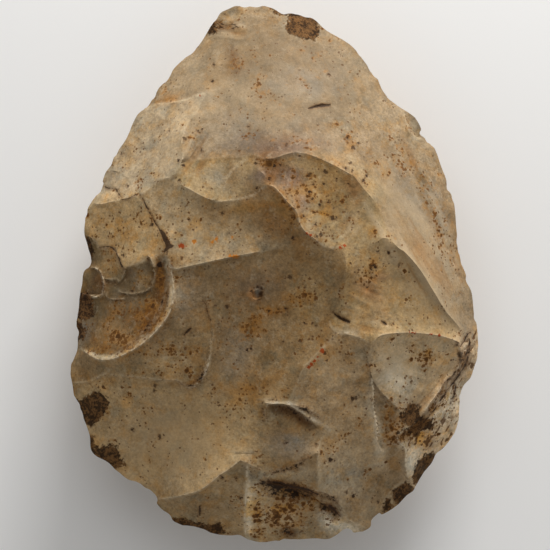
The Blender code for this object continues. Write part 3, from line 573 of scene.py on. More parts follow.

# Soft washes over the scars: (x, y, half length, half width, turn in degrees, tone, strength). Those in
# shaded_buff are painted shade, but for the stain at the tip.
WASHES = [
    (0, 52, 12, 9, 0, "tip_buff", 0.9),
    (15, 42, 8, 6, -50, "tip_buff", 0.6),
    (6, 37, 10, 6, 0, "tip_buff", 0.45),
    (3.5, 29, 13, 3.2, 0, "pink_grey", 1.0),
    (21, 22, 7, 3, -52, "buff", 0.5),
    (37, 2, 6, 16, 10, "flank_cream", 0.7),
    (0, 23.5, 4.5, 4, 0, "orange", 0.9),
    (-4, 21.5, 3, 4, 0, "pink_grey", 0.4),
    (13, 20, 8, 6, -40, "buff", 0.7),
    (15, 17, 5, 3, -50, "honey", 0.45),
    (17.8, 20, 4, 1.8, -60, "orange", 0.65),
    (4, 22, 2.6, 2.4, 0, "pink_grey", 0.9),
    (8.6, 10.5, 5, 2.6, -45, "flank_cream", 0.6),
    (-13, 21.5, 6, 3.4, 0, "grey_buff", 0.5),
    (-12, 22.5, 4, 2.6, 0, "blue_grey", 0.4),
    (-2, 12, 8, 5, -25, "shaded_buff", 0.9),
    (0, 13.5, 6, 3, -20, "honey", 0.35),
    (-15, 14, 5, 3, -15, "shaded_buff", 0.4),
    (8, -3, 6, 9, 10, "honey", 0.25),
    (-9, 33, 6, 4, 0, "blue_grey", 0.35),
    (7, 44, 7, 3.5, 0, "blue_grey", 0.35),
    (-20, -5, 4, 6, 0, "blue_grey", 0.4),
    (-9, -19, 4, 6, 0, "blue_grey", 0.45),
    (-3, -4, 10, 7, 0, "pink_grey", 0.55),
    (0.5, -9.2, 4, 1.4, 5, "rust", 0.4),
    (3, -40, 5, 3, 0, "blue_grey", 0.5),
    (16, -50, 3, 4, 0, "blue_grey", 0.35),
    (15, -17, 3, 2, 0, "honey", 0.4),
    (-5, -26.5, 6, 2.4, 0, "honey", 0.45),
    (1, -8, 6, 2.4, 0, "honey", 0.5),
    (-36, -13.5, 7, 4, -20, "grey_buff", 0.35),
    (-35, -6, 4, 3, 0, "blue_grey", 0.4),
    (-43.6, -13, 2, 2.6, 0, "blue_grey", 0.7),
    (30, 22, 6, 3, -60, "blue_grey", 0.2),
    (22, -4, 4, 3, -50, "orange", 0.35),
    (24.5, -1, 4, 2, 0, "orange", 0.35),
    (26, 3, 6, 3, -50, "blue_grey", 0.3),
    (30, -29, 8, 3, -20, "blue_grey", 0.35),
    (22, -10, 8, 3, -10, "cream", 0.4),
    (18, -13.5, 3, 1.5, -15, "cream", 0.7),
    (-22, -47, 8, 4, 25, "flank_cream", 0.35),
    (18, -46, 5, 7, 0, "grey_buff", 0.4),
    (41.2, -29.6, 5.5, 2.6, 60, "chalk", 0.75),
    (44.8, -17.5, 6, 2.4, 75, "rind_brown", 0.55),
    (-26.2, 0.5, 4.0, 1.1, 85, "rust", 0.75),
    (-41.2, -2.2, 2.8, 1.5, 80, "rust", 0.7),
    (-36, 13, 6, 4, 0, "left_buff", 0.6),
    (-33.6, 0.0, 1.6, 1.0, 60, "rust", 0.5),
    (-37.5, -2.4, 3.0, 0.9, 0, "rust", 0.4),
    (-36.6, 2.6, 3.0, 2.4, 0, "left_buff", 0.6),
    (-31.2, -0.6, 2.2, 3.0, 20, "blue_grey", 0.4),
    (-24.5, 40.4, 2.2, 1.0, 15, "ochre", 0.8),
    # a brown-olive stain at the tip, in the tone of the painted shade
    (-9.6, 49.5, 1.9, 3.4, 10, "shaded_buff", 0.7),
    # painted shadow in the butt crevice
    (6, -50.2, 7, 1.2, -16, "umber", 0.6),
    (13.8, -54.6, 2.4, 1.0, -42, "umber", 0.7),
    (3, -55, 8, 5, 0, "oval_buff", 0.5),
    # painted shadow under the lens lip
    (1.6, -31.3, 3.8, 1.3, -8, "umber", 0.75),
    (6.4, -33.6, 3.6, 1.1, -36, "umber", 0.8),
    (7.4, -32.4, 5.0, 0.5, -32, "chalk", 0.8),
    (0.6, -29.7, 2.6, 0.4, 0, "chalk", 0.7),
    (-3, -53, 1.8, 8, 0, "buff", 0.6),
    (17.2, 12, 2, 3, -30, "blue_grey", 0.25),
    (38, 16, 2.4, 8, 15, "blue_grey", 0.45),
    (31, 21, 3, 9, 30, "blue_grey", 0.3),
    (43, 4, 1.0, 9, 14, "honey", 0.5),
    (40, 17, 1.0, 6, 20, "honey", 0.4),
    (32, 6, 2.0, 9, 32, "honey", 0.3),
    (-33, 24, 3, 5, 25, "bleached", 0.25),
    (32.0, -43.2, 3.8, 1.5, 75, "chalk", 0.9),
    (28.6, -43.6, 4.5, 1.5, 85, "shaded_buff", 0.35),
    (28.6, -38.8, 2.4, 1.3, -30, "chalk", 0.7),
    (-5.9, -54, 0.6, 7, 0, "chalk", 0.55),
    (-3.5, -51, 2.5, 2.4, 0, "bleached", 0.5),
    (-3, -50.8, 2.0, 1.2, 0, "bleached", 0.5),
    (-26.2, -4.5, 1.6, 6, 0, "rust", 0.65),
    (-28.5, -9.5, 2.6, 4, -40, "ochre", 0.6),
    (-34, -14.5, 6.5, 2.4, -28, "ochre", 0.55),
    (-41, -15.5, 3, 2, 0, "ochre", 0.4),
    (-29.5, -13.2, 5.0, 1.3, -45, "rust", 0.55),
    (-37, -17.2, 4.0, 1.2, -12, "rust", 0.5),
    (-33, -7.5, 3.5, 2.2, 0, "grey_buff", 0.35),
    (28.5, -21.5, 5, 5, 0, "bleached", 0.5),
    (8, -5, 5, 6, 0, "scar_buff", 0.6),
    (26, -1, 6, 4, -50, "left_buff", 1.0),
    (-24, -19, 6, 4, -30, "grey_buff", 0.7),
    (-28, -38, 10, 7, 0, "oval_buff", 0.5),
    (16, -47, 4.4, 8, 0, "flank_cream", 0.75),
    (2, -46.3, 6, 1.4, 5, "bleached", 0.9),
    (28, -25, 4, 3, -40, "chalk", 0.65),
    (12.3, -57.2, 1.7, 2.8, 20, "chalk", 1.0),
    (15, -58.2, 3, 1.4, -20, "chalk", 0.85),
    (18, -59, 2.4, 1.2, -15, "chalk", 0.6),
    (16, -47, 4, 5, 0, "bleached", 0.35),
    (17.5, -46.5, 3, 2.4, 0, "blue_grey", 0.25),
    (-5.0, -4.9, 0.8, 1.3, 10, "peach", 1.0),
    (-3.3, -4.3, 0.7, 1.6, 10, "umber", 0.9),
    (-3.9, -3.9, 0.4, 0.9, 0, "blue_grey", 0.9),
    (4.3, 22.0, 2.2, 2.2, 0, "pale_pink", 0.8),
    (6.3, 16.8, 2.2, 2.0, -40, "pale_pink", 0.8),
    (-3, 22.4, 2.0, 1.6, 0, "pale_pink", 0.6),
    (19.0, 20.8, 1.2, 0.7, -60, "orange", 0.6),
    (18.3, 18.3, 1.0, 0.7, 0, "orange", 0.5),
    (21.2, -3.6, 3.4, 2.0, -50, "peach", 0.7),
    (24.4, -0.7, 2.2, 0.9, 0, "peach", 0.7),
    (6.2, -5.7, 2.2, 2.0, 0, "honey", 0.5),
    (12.5, 24.0, 6, 2.2, -30, "honey", 0.6),
    (11, 18.5, 5, 4, -40, "honey", 0.35),
    (-7, 15.0, 6, 1.5, 8, "honey", 0.8),
    (-14.5, 15.4, 4, 1.2, -14, "shaded_buff", 0.5),
    (2.4, 14.2, 4.5, 1.5, -48, "honey", 0.6),
    (0.2, 12.2, 5, 3, -30, "orange", 0.3),
    (-26.0, 1.4, 0.9, 2.2, 0, "umber", 0.6),
    (-35.5, -9, 5, 3.6, 0, "shaded_buff", 0.9),
    (-29, -10.5, 3.4, 2.0, -50, "speck", 0.3),
    (-24.2, -1.2, 0.8, 3.2, 0, "rust", 0.55),
    (-9.2, 49.6, 1.5, 3.4, 12, "speck", 0.75),
    (-12, 57.2, 3.0, 1.1, 15, "speck", 0.45),
    (-2.6, -56, 2.4, 5, 0, "oval_buff", 0.6),
    (8, -56, 3, 2.6, 0, "honey", 0.4),
    (3.6, -60.2, 2.0, 1.0, 12, "pitch", 0.95),
    (-5.8, -55, 0.8, 6.5, 0, "chalk", 0.7),
    (34.6, -32.8, 2.2, 0.8, 50, "umber", 0.8),
    (36.7, -30.2, 1.8, 0.5, 52, "rust", 0.85),
    (38.3, -27.8, 1.6, 0.5, 52, "rust", 0.7),
    (41.4, -25.0, 1.0, 0.6, 50, "umber", 0.7),
    (44.6, -21.0, 1.2, 0.6, 60, "umber", 0.7),
    (27.4, -33.6, 1.6, 2.0, 0, "rust", 0.65),
    (26.6, -38.0, 2.2, 1.3, 0, "rust", 0.65),
    (33.8, -34.9, 1.6, 1.2, 30, "umber", 0.9),
    (36.4, -39.4, 1.2, 1.6, 0, "rind_brown", 0.6),
    (-27, -34, 12, 8, 0, "grey_buff", 0.3),
    (5, -38.6, 3, 2, 0, "blue_grey", 0.5),
    (22, 20, 2.4, 2.4, 0, "buff", 0.5),
    (-16, -54, 4, 3, 0, "shaded_buff", 0.4),
    (20.5, 27, 6.5, 1.6, -50, "speck", 0.28),
    (27, 27, 7, 2.6, -52, "shaded_buff", 0.4),
    (33, 21.5, 6.5, 2.6, -62, "shaded_buff", 0.35),
    (-25, -21.5, 9, 2.4, -8, "left_buff", 0.5),
    (-12.9, -16.5, 1.5, 5.5, 0, "shaded_buff", 0.55),
    (-30, -10.2, 4.0, 1.8, -50, "speck", 0.45),
    (-33.5, -6.5, 3.2, 2.6, 0, "shaded_buff", 0.55),
    (-35.2, -14.8, 3.6, 1.5, -22, "oval_buff", 0.55),
    (-30, -1.3, 2.0, 1.6, 0, "left_buff", 0.5),
    (-34, -9, 5.0, 3.2, -30, "speck", 0.3),
    (-28.8, -9.8, 2.4, 1.6, -50, "speck", 0.45),
    (14.5, -57.6, 2.6, 2.0, -20, "chalk", 0.5),
    (44.2, -17.6, 3.6, 1.4, 75, "chalk", 0.3),
    (39.8, -30.2, 4.0, 1.6, 58, "chalk", 0.35),
    (3, -55, 7, 4, 0, "bleached", 0.2),
    # painted highlight along the blade of the right rib
    (23.9, -36.6, 6.0, 1.3, -80, "chalk", 0.8),
]

# Where the tone is even: (x, y, half length, half width, turn in degrees).
CALM = [(0, 45, 24, 15, 0), (33, 6, 9, 24, 20), (-22, -38, 14, 9, 15), (28, -22, 5, 5, 0)]

# The cracked rind along the right of the rim.
BAND = [
    (47, -13), (45.2, -13.6), (43.6, -15.2), (43.4, -18), (43.2, -20.5), (41.5, -23.4), (39, -26),
    (37.2, -28.6), (34.6, -32), (31.2, -35.8), (28.6, -37.2), (25.6, -36), (26, -38.6),
    (30.6, -39.8), (34, -40.2), (37, -42.6), (42, -38), (44, -30), (48, -20),
]
# Patches of the old brown crust of the nodule, by their corners.
CRUSTS = [
    [
        (3.8, 61.4), (3.0, 58.5), (2.6, 57), (3.2, 55.8), (6.2, 54.8), (9.7, 54.0), (10.3, 56.2),
        (10.0, 58), (9.0, 60.2),
    ],
    [(-0.3, 61.6), (0.6, 60.6), (4, 60.0), (6.5, 59.4), (9, 59.0), (9, 61)],
    [(-16.0, 58), (-15.2, 55.6), (-13.0, 56.2), (-12.2, 57.6), (-13.5, 59.2)],
    [(-44.5, 9.5), (-42.6, 8.6), (-41.9, 6.4), (-41.7, 4.2), (-42.3, 2.2), (-44.5, 2.4)],
    [(-47, -4.0), (-43.6, -4.4), (-42.1, -5.6), (-41.2, -7.2), (-41.6, -9.6), (-44, -10.8), (-47, -10.2)],
    [(-47, -10.8), (-44.6, -11.6), (-43.4, -13.2), (-44.4, -15.4), (-46.4, -16)],
    [
        (-47, -29), (-44.4, -29.2), (-41.3, -26.4), (-39.0, -27.8), (-37.8, -29.8), (-39.4, -33),
        (-42.4, -35.2), (-46.2, -33.6),
    ],
    [(-42.6, -41.4), (-40.0, -39.4), (-37.0, -39.7), (-35.7, -41.2), (-34.9, -44.2), (-38.2, -45.4)],
    [(-43.6, -36.6), (-42.2, -37.4), (-41.5, -39.8), (-42.4, -41.6), (-44, -40)],
    [(-30, -53), (-24, -56.3), (-18, -57.6), (-12.6, -58.2), (-11.4, -60), (-16, -62), (-26, -60)],
    [
        (30.4, -31), (31.8, -29.7), (32.9, -30.2), (33.6, -32), (33.2, -33.6), (31.5, -35.2),
        (29.8, -34.2), (29.2, -32.6),
    ],
    [
        (33.0, -32.6), (36.9, -33.6), (36.6, -35.8), (34.2, -36.2), (32.8, -37.8), (30.8, -37.0),
        (28.6, -37.4), (28.2, -36.6), (31.5, -35.6),
    ],
    [(31.6, -47.6), (32.4, -45.5), (33.5, -43.2), (35.2, -41.2), (38, -42), (37, -45.6), (33.8, -49.6)],
    [(27.2, -50.3), (29, -48.9), (31.2, -48), (33, -49.6), (29.6, -54), (27.8, -52.4)],
    [(24.8, -54.4), (25.9, -52.2), (26.6, -51.4), (27.1, -52.8), (26.9, -54.6), (25.2, -55.8)],
]

# Where rust speckles the surface, or keeps off it: (x, y, half length, half width, turn in degrees,
# density, below 0 where it keeps off).
RUST = [
    (-9.2, 50, 1.6, 3.4, 0, 1.2), (15, 34.6, 3, 0.9, 10, 1.3), (18, 30.5, 4.5, 1.2, -50, 1.6),
    (23, 26, 6, 1.0, -50, 1.4), (31, 26, 8, 1.4, -52, 1.1), (39, 12, 9, 1.3, -75, 0.5),
    (-13, 58.5, 3.4, 1.2, 20, 1.3), (8, 19.5, 7, 3.0, -60, 0.7), (9, 11, 5, 2.2, -45, 0.6),
    (-1, 24, 3, 2.5, 0, 0.6), (-35, 11, 5, 4, 0, 0.55), (-37.5, 3, 2, 4, 0, 0.6),
    (-31, -0.5, 3, 3, 0, 0.45), (-28.6, -8.5, 3.4, 5, -30, 1.7), (-36, -14.6, 7, 3.2, -20, 1.3),
    (-31, -12, 5, 3, -45, 1.3), (-44, -8, 2, 5, 0, 0.5), (-24, -17, 4, 2.6, -20, 1.1),
    (-20.5, -22.4, 4, 1.6, -20, 1.2), (-30, -22.6, 4, 1.2, 0, 0.6), (22.3, 1.8, 1.8, 3.0, -20, 1.2),
    (37.5, -8.5, 1.8, 2.2, 0, 0.55), (35, -18.8, 3.6, 2.8, 0, 1.15), (-6, -11, 3.5, 3, 40, 0.7),
    (6.2, -5.7, 2.5, 2.0, 20, 0.9), (6, -5, 3, 2, 0, 0.55), (-12.5, -27, 2, 1.2, 0, 0.65),
    (-5, -26.5, 3, 1.6, 0, 0.55), (27.6, -35.5, 2.8, 4.5, 10, 1.9), (32.5, -37.5, 5, 3.0, 20, 1.6),
    (38.5, -27.5, 8, 1.2, 52, 1.4), (39, -31, 6, 3, 55, 0.8), (43.5, -20.5, 5, 1.2, 60, 0.6),
    (3, -53.6, 8, 4.4, -10, 1.35), (-3.6, -56, 2.4, 4, 0, 1.5), (6, -51.2, 7, 1.8, -18, 1.7),
    (13, -55.2, 2.6, 1.4, -45, 0.8), (4, -43.8, 6, 0.9, 20, 0.7), (1, 26.0, 7, 0.9, 5, 0.9),
    (9, 26.2, 5, 0.8, -18, 0.8), (-12, 17.0, 5, 0.5, 0, 0.7), (-18, 18.6, 4, 0.5, -30, 0.7),
    (2.6, 15.8, 4, 0.8, -55, 0.9), (7.4, 9.6, 4, 0.8, -45, 0.9), (-18.8, 30, 2.0, 4.5, 0, 0.95),
    (-12, 57, 4, 2, 20, 0.7), (2, 58, 4, 2, 0, 0.5), (-27, 41, 4, 1.4, 30, 0.6),
    (-31, 33, 4, 1.0, 60, 0.4), (25, 30, 7, 1.4, -50, 0.7), (33, 20, 8, 2.2, -55, 0.9),
    (39, 8, 7, 1.6, -70, 0.6), (-36, 25, 3, 2, 0, 0.35), (-38, 13, 4, 4, 0, 0.6),
    (-33, 7, 5, 3, 0, 0.45), (-37, 2, 3, 3, 0, 0.8), (-20, 12, 8, 4, -30, 0.3),
    (-26.4, -3, 1.4, 5.5, 0, 1.3), (-34, -16, 6, 1.8, -25, 2.0), (-28.6, -11, 2.2, 5.5, -42, 1.9),
    (-34, -9, 6, 5, 0, 0.9), (-40, -18, 3.5, 1.4, 0, 1.6), (-21, -17, 5, 3, 0, 0.6),
    (-18.4, -24.8, 2.6, 0.9, 10, 1.6), (-29, -22.8, 7, 1.0, 0, 0.7), (-40, -23.8, 4, 1.0, 0, 0.6),
    (-10, -10, 6, 2.6, 30, 0.6), (-12, -20, 4, 6, 0, 0.35), (-7, -30, 6, 3, 0, 0.4),
    (5, -14, 5, 5, 0, 0.3), (25, -1, 5, 5, 0, 0.35), (12, -47, 2, 3, 0, 0.4),
    (-2, -58, 6, 2, 0, 0.7), (24, -33, 2, 5, 0, 0.5), (37, -45, 3, 3, 0, 0.7),
    (-17, -59, 7, 1.4, -10, 0.7), (-9, -47, 3, 1.5, 0, 0.4), (-1.5, 25.4, 1.6, 1.0, 0, 1.8),
    (-1.6, 23.6, 2.0, 1.2, 0, 1.2), (8.2, 22.6, 1.6, 1.0, 0, 1.6), (10.8, 13.9, 2.2, 0.5, -15, 2.0),
    (22.8, 9.0, 1.2, 1.6, 0, 1.7), (-4.5, -10.3, 4.0, 2.4, 40, 1.5),
    (-0.7, -8.4, 4.6, 1.2, -8, 2.0), (31.4, -6.2, 2.6, 1.4, -10, 1.6),
    (-43.6, 13.6, 2.0, 1.6, 0, 1.5), (2, 42, 14, 9, 0, -0.5), (-28, 28, 7, 7, 0, -0.35),
    (27, 24, 3, 12, 40, -0.3), (-24, -40, 9, 6, 0, -0.3), (31, 24, 2.6, 7, 35, 1.0),
    (37.5, 12, 1.6, 7, 18, 0.9), (0, -56, 6, 4, 0, 1.6), (8, -53.5, 4, 2.4, -15, 1.6),
    (28, -38, 3.4, 1.4, -20, 2.2), (35, -36.5, 3, 2, 50, 1.3),
]

# Single specks and drops: (x, y, radius).
DARK_SPECKS = [
    (-14, 48.3, 0.40), (12.8, 46, 0.36), (-5.8, 33.8, 0.29), (-16.7, 28.4, 0.32), (-17.6, 33, 0.25),
    (-16.6, 33.4, 0.25), (-17.1, 32.5, 0.22), (-20.5, 31, 0.36), (-20.7, 25.2, 0.29),
    (-22, 26.2, 0.25), (-24.2, 32.8, 0.29), (-35.4, 28, 0.25), (-33.8, 20.3, 0.25),
    (13.4, 12.7, 0.54), (14.2, 12.9, 0.36), (-28.0, 11.3, 0.32), (-19.6, 12.5, 0.22),
    (-12.0, 13.9, 0.29), (-36.3, 19.4, 0.25), (-34.8, 4.3, 0.29), (-32.8, -3.9, 0.25),
    (-10.7, -7.5, 0.43), (-5.3, -17.3, 0.32), (-6.2, -17.5, 0.29), (1.8, -15.6, 0.29),
    (7, -11.2, 0.32), (9.5, -11.9, 0.25), (-26.4, -37.7, 0.43), (-33, -36.1, 0.29),
    (-27.5, -25.8, 0.36), (-27.6, -26.8, 0.25), (9.6, -39.2, 0.29), (13.3, -42.8, 0.36),
    (12.9, -42.9, 0.32), (18.2, -28.8, 0.61), (18.9, -28.3, 0.54), (18.4, -51.5, 0.36),
    (16.7, -50.4, 0.29), (24, -52.8, 0.29), (2.7, -38.9, 0.36), (-3.6, -44.7, 0.32),
    (-2, -46.2, 0.25), (26.3, 4.9, 0.25), (28.7, 2.1, 0.29), (23.9, 5.1, 0.25), (17.5, 2.4, 0.22),
    (24.3, -22.3, 0.29), (-5.1, -4.2, 0.36), (-12, -46.8, 0.29), (-8.8, -47.2, 0.36),
    (-7.7, -51.8, 0.29), (16.4, 24.2, 0.32), (20.5, 21.5, 0.25), (42.2, -16.2, 0.50),
    (43.0, -18.7, 0.65), (43.2, -19.8, 0.43), (-21.8, 21.5, 0.36), (-22.9, 22.2, 0.29),
    (0.1, 24.7, 0.35), (1.4, 24.8, 0.3), (-4.1, 25.2, 0.2), (11.8, 23.4, 0.36), (8.1, 22.7, 0.5),
    (8.9, 20.6, 0.3), (11.3, 20.5, 0.25), (18.0, 23.7, 0.2), (21.2, 22.4, 0.3), (8.7, 17.1, 0.3),
    (8.1, 18.7, 0.2), (12.5, 16.5, 0.34), (10.3, 15.8, 0.22), (9.4, 11.3, 0.34), (10.7, 8.9, 0.3),
    (6.9, 13.2, 0.25), (9.6, 8.4, 0.28), (-1.0, 21.5, 0.3), (-4.1, 19.5, 0.25), (4.3, 8.3, 0.25),
    (17.1, 20.7, 0.2), (2.8, 29.6, 0.25), (16.9, 31.1, 0.3), (19.4, 29.9, 0.2), (18.1, 29.0, 0.25),
    (17.6, 25.5, 0.25), (5.9, 26.9, 0.22), (14.3, 21.8, 0.22), (14.3, 17.8, 0.2),
    (-3.0, -4.6, 0.36), (-3.4, -6.0, 0.45), (-2.9, -3.5, 0.25), (-3.9, -2.9, 0.25),
    (22.0, 3.2, 0.3), (22.8, 2.2, 0.3), (22.3, 0.8, 0.3), (23.4, 1.4, 0.25), (3.6, -0.8, 0.35),
    (1.0, -8.2, 0.3), (-1.2, -8.6, 0.35), (2.6, -8.0, 0.35),
]
ORANGE_DROPS = [
    (-18.3, 7.4, 0.55), (-14.2, 7.3, 0.35), (-13.4, 8.0, 0.45), (-9.6, 8.4, 0.45), (-10.0, 3.9, 0.35),
    (-9.2, 4.0, 0.35), (-8.5, 4.1, 0.3),
]
RED_DROPS = [
    (-21.2, 6.5, 0.7), (7.6, 9.3, 0.4), (8.3, 8.8, 0.4), (15.2, 6.2, 0.35), (16.0, 6.4, 0.35),
    (11.1, -17.8, 0.55), (9.8, -19.3, 0.4), (9.4, -19.8, 0.35), (8.4, -20.8, 0.45), (7.9, -21.4, 0.5),
    (31.6, -13.5, 0.35), (32.4, -13.6, 0.35), (36.2, -13.9, 0.35), (38, -14.2, 0.35), (-17.2, 41.3, 0.3),
]

# Thin dark cracks: (half width, the ends that die out, an arris's name or points).
CRACKS = [
    (0.03, "", "crack"),
    (0.5, "both", [(-26.2, 10.2), (-25.2, 8.5), (-24.7, 7.3), (-24.0, 6.4), (-23.2, 6.4)]),
    (0.34, "both", [(-24.2, 7.2), (-24.7, 5.8), (-25.6, 4.6)]),
    (0.10, "both", [(-40.6, 6.1), (-37.8, 6.2), (-36.3, 4.5), (-35.3, 2.1), (-34.6, 1.1)]),
    (0.04, "both", [(-35.3, 17.1), (-33.6, 17.4), (-31.5, 18.5)]),
    (0.03, "", [(-40.3, 20.8), (-38.6, 19.9), (-36.8, 19.6), (-35.9, 18.4), (-35.1, 17.3)]),
    # these two, along the butt crevice, also paint its shadow
    (0.20, "both", [(-2.0, -47.9), (0.4, -48.1), (3.9, -49.0), (7.4, -49.7), (9.0, -50.4), (10.4, -51.2)]),
    (0.16, "both", [(11.6, -52.8), (13.4, -54.2), (15.4, -56.3)]),
    (0.15, "both", [(45.2, -15), (45.3, -17), (44.7, -20), (43.1, -23), (40.8, -26), (38.2, -29.5)]),
    (0.10, "", [(42.8, -17.2), (43.9, -15.6), (44.8, -14.0), (45.6, -13.6)]),
    (0.09, "both", [(42.4, -17.6), (43.2, -19.4), (44.4, -18.6), (45.2, -16.4)]),
    (0.10, "both", [(39.2, -25.2), (40.6, -24.2), (42, -22.6)]),
    (0.10, "both", [(37.6, -30.6), (36, -32.6), (34.2, -34.6), (31.6, -36.0)]),
    (0.09, "both", [(41.6, -24.6), (42.0, -27), (40.8, -30.2)]),
    (0.14, "both", [(13.2, -8.4), (14.8, -10.0), (17.6, -11.2)]),
    (0.03, "both", [(-13.6, 58.8), (-11.2, 57.6), (-9.4, 57.9), (-8.0, 56.8)]),
    (0.02, "both", [(-13.0, 57.4), (-10.8, 56.7), (-9.0, 57.1)]),
    (0.03, "both", [(-16.4, -6.2), (-15.6, -7.4), (-15.3, -9.0), (-14.4, -11)]),
]
# Ragged brown seams: (half width, below 0 for broken ones, how much wider they fade out to their right,
# the ends that die out, points or the name of a line).
SEAMS = [
    # the first two paint the shadow in the butt crevice, black under its edge and fading below it
    (0.72, 2.8, "both", [(-4.0, -47.9), (-0.3, -48.0), (3.6, -48.9), (7.5, -49.7), (10.2, -51.0)]),
    (0.55, 1.8, "both", [(10.6, -52.0), (11.8, -53.2), (13.4, -54.3), (15.4, -56.3)]),
    (0.18, 1.6, "both", [(9.0, -50.2), (11.2, -50.7), (13.4, -51.7), (15.6, -53.4)]),
    # painted shadow under the lens lip
    (0.08, 2.0, "both", [(-1.4, -30.3), (1.5, -30.4), (3.8, -31.2), (7.5, -33.4), (10.2, -35.6)]),
    (0.0, 1.0, "both", [(3.2, -30.2), (7.3, -31.3), (9.6, -32.6), (11.6, -34.2)]),
    (-0.25, 1.0, "both", [(-3.0, -30.0), (-2.6, -31.6), (-2.2, -34.4)]),
    (0.18, 1.0, "both", [(9.5, -41.6), (7.5, -42.4), (6, -43.6), (3, -44.9), (-1, -46.0)]),
    (0.04, 1.0, "both", [(-23.0, -24.6), (-20.5, -25.7), (-18.2, -25.2), (-16.0, -22.2), (-14.8, -18.2)]),
    (0.4, 1.0, "both", [(1.0, -59.4), (3.4, -60.0), (5.6, -60.8)]),
    (-0.15, 1.0, "both", "hinge_inner"),
    (-0.1, 1.0, "both", [
        (43.4, -15.2), (43.3, -18), (43.2, -20.5), (41.5, -23.4), (39, -26), (37.2, -28.6), (34.6, -32),
    ]),
    (0.0, 1.0, "both", [(45.6, -13.6), (46.0, -15.6), (45.0, -18.6), (43.6, -21.2), (41.0, -24.0)]),
    (0.22, 1.0, "both", [(-25.4, 3.2), (-26.2, 2.2), (-27.4, 1.5)]),
    (0.0, 1.0, "both", [(-39.6, -1), (-39.4, -3.4), (-40, -5.0)]),
]
# Bright edges, worn pale, and on the right rib a painted highlight: (strength, half width, the ends that die
# out, points or an arris's name).
BLADES = [
    # the blade of the right rib: painted highlight
    (0.9, 0.7, "both", "right_rib"),
    (1.15, 1.3, "both", [
        (22.5, -28.6), (22.7, -30.4), (23.1, -32.3), (23.6, -34.7), (23.9, -37), (24.3, -39.6),
        (24.8, -42),
    ]),
    (1.2, 0.5, "both", [(30.4, -37.9), (30.6, -41), (30.8, -44.5), (31.6, -47.4)]),
    (1.0, 0.4, "both", [(37.4, -40.4), (35.0, -42.6), (33.4, -45.2), (32.2, -47.6)]),
    (0.5, 0.4, "both", [(38.8, -25.2), (37.4, -27.4), (35.0, -30.6), (32.2, -34.2), (30.2, -35.8)]),
    (0.9, 0.7, "both", [(13.6, -11.6), (15.4, -13.2), (17.8, -13.6), (20.4, -15.0)]),
    (1.0, 0.5, "both", [(10.6, -38.5), (10.2, -41), (10.2, -44), (10.4, -47), (10.5, -50)]),
    (0.9, 0.45, "both", [(-42.8, -24.6), (-40.0, -23.6), (-37.4, -22.0)]),
    (1.3, 0.5, "both", [(-22.4, -24.8), (-19.4, -26.2), (-17.0, -24.6), (-15.4, -21.6), (-14.4, -16.5)]),
    (1.0, 0.5, "both", [(15.6, -53.4), (16.2, -55.4), (17.2, -57.2)]),
]
PALE_EDGE_WIDTH = 0.42  # half the width of the pale line along an arris, from wear and painted highlight
PLAIN_EDGE_PALENESS = 0.6  # how pale an arris is, if EDGE_WEAR_AND_HIGHLIGHT doesn't say
LINE_EDGE_PALENESS = 0.5
# How pale each arris is, from wear and painted highlight.
EDGE_WEAR_AND_HIGHLIGHT = {
    "upper_arc": 0.25, "crest": 0.1, "crest_low": 0.3, "crest_spur": 0.0, "flank": 0.35,
    "flank_to_rim": 0.6, "flank_to_tip": 0.0, "crack": 0.0, "hinge_floor": 0.0, "hinge_wall": 0.3,
    "hinge_lip": 0.9, "middle_right": 0.1, "brow_spur": 0.1, "butt_foot": 0.0, "lens_foot": 0.0,
    "right_band": 0.0, "shelf": 0.7, "right_rib": 1.0, "left_low": 0.6, "oval_left": 0.4,
    "oval_right": 0.9, "left_chip": 1.0, "butt_left": 0.7, "right_low": 0.35, "butt_rib": 1.0,
    "butt_right": 0.1, "butt_middle": 0.3, "right_butt": 1.0,
}
# Lines that get no pale edge.
NO_PALE_EDGE = ("crest_band", "flank_line", "crack_groove", "neck_crevice", "butt_crevice")


# ---------------------------------------------------------------- the sheet over the arrises


def spline(points, closed=False):
    """Even points along the smooth curve through the given ones, CURVE_STEP apart."""
    given = np.array(points, float)
    if closed:
        padded = np.vstack([given[-1:], given, given[:2]])
    else:
        padded = np.vstack([2 * given[0] - given[1], given, 2 * given[-1] - given[-2]])
    dense = []
    for before, start, end, after in zip(padded, padded[1:], padded[2:], padded[3:]):
        for t in np.linspace(0, 1, CURVE_SAMPLES, endpoint=False):
            bend = 2 * before - 5 * start + 4 * end - after
            turn = 3 * start - before - 3 * end + after
            dense.append(start + 0.5 * ((end - before) * t + bend * t**2 + turn * t**3))
    dense.append(padded[-2])
    dense = np.array(dense)
    run = np.concatenate([[0], np.cumsum(np.linalg.norm(np.diff(dense, axis=0), axis=1))])
    steps = max(2, round(run[-1] / CURVE_STEP))
    stops = np.linspace(0, run[-1], steps + 1)[: steps if closed else None]
    return np.column_stack([np.interp(stops, run, dense[:, axis]) for axis in (0, 1)])


def rim_height(points):
    angle = np.arctan2(points[:, 1], points[:, 0])
    return sum(height * np.sin(waves * angle + turn) for height, waves, turn in RIM_WAVES)


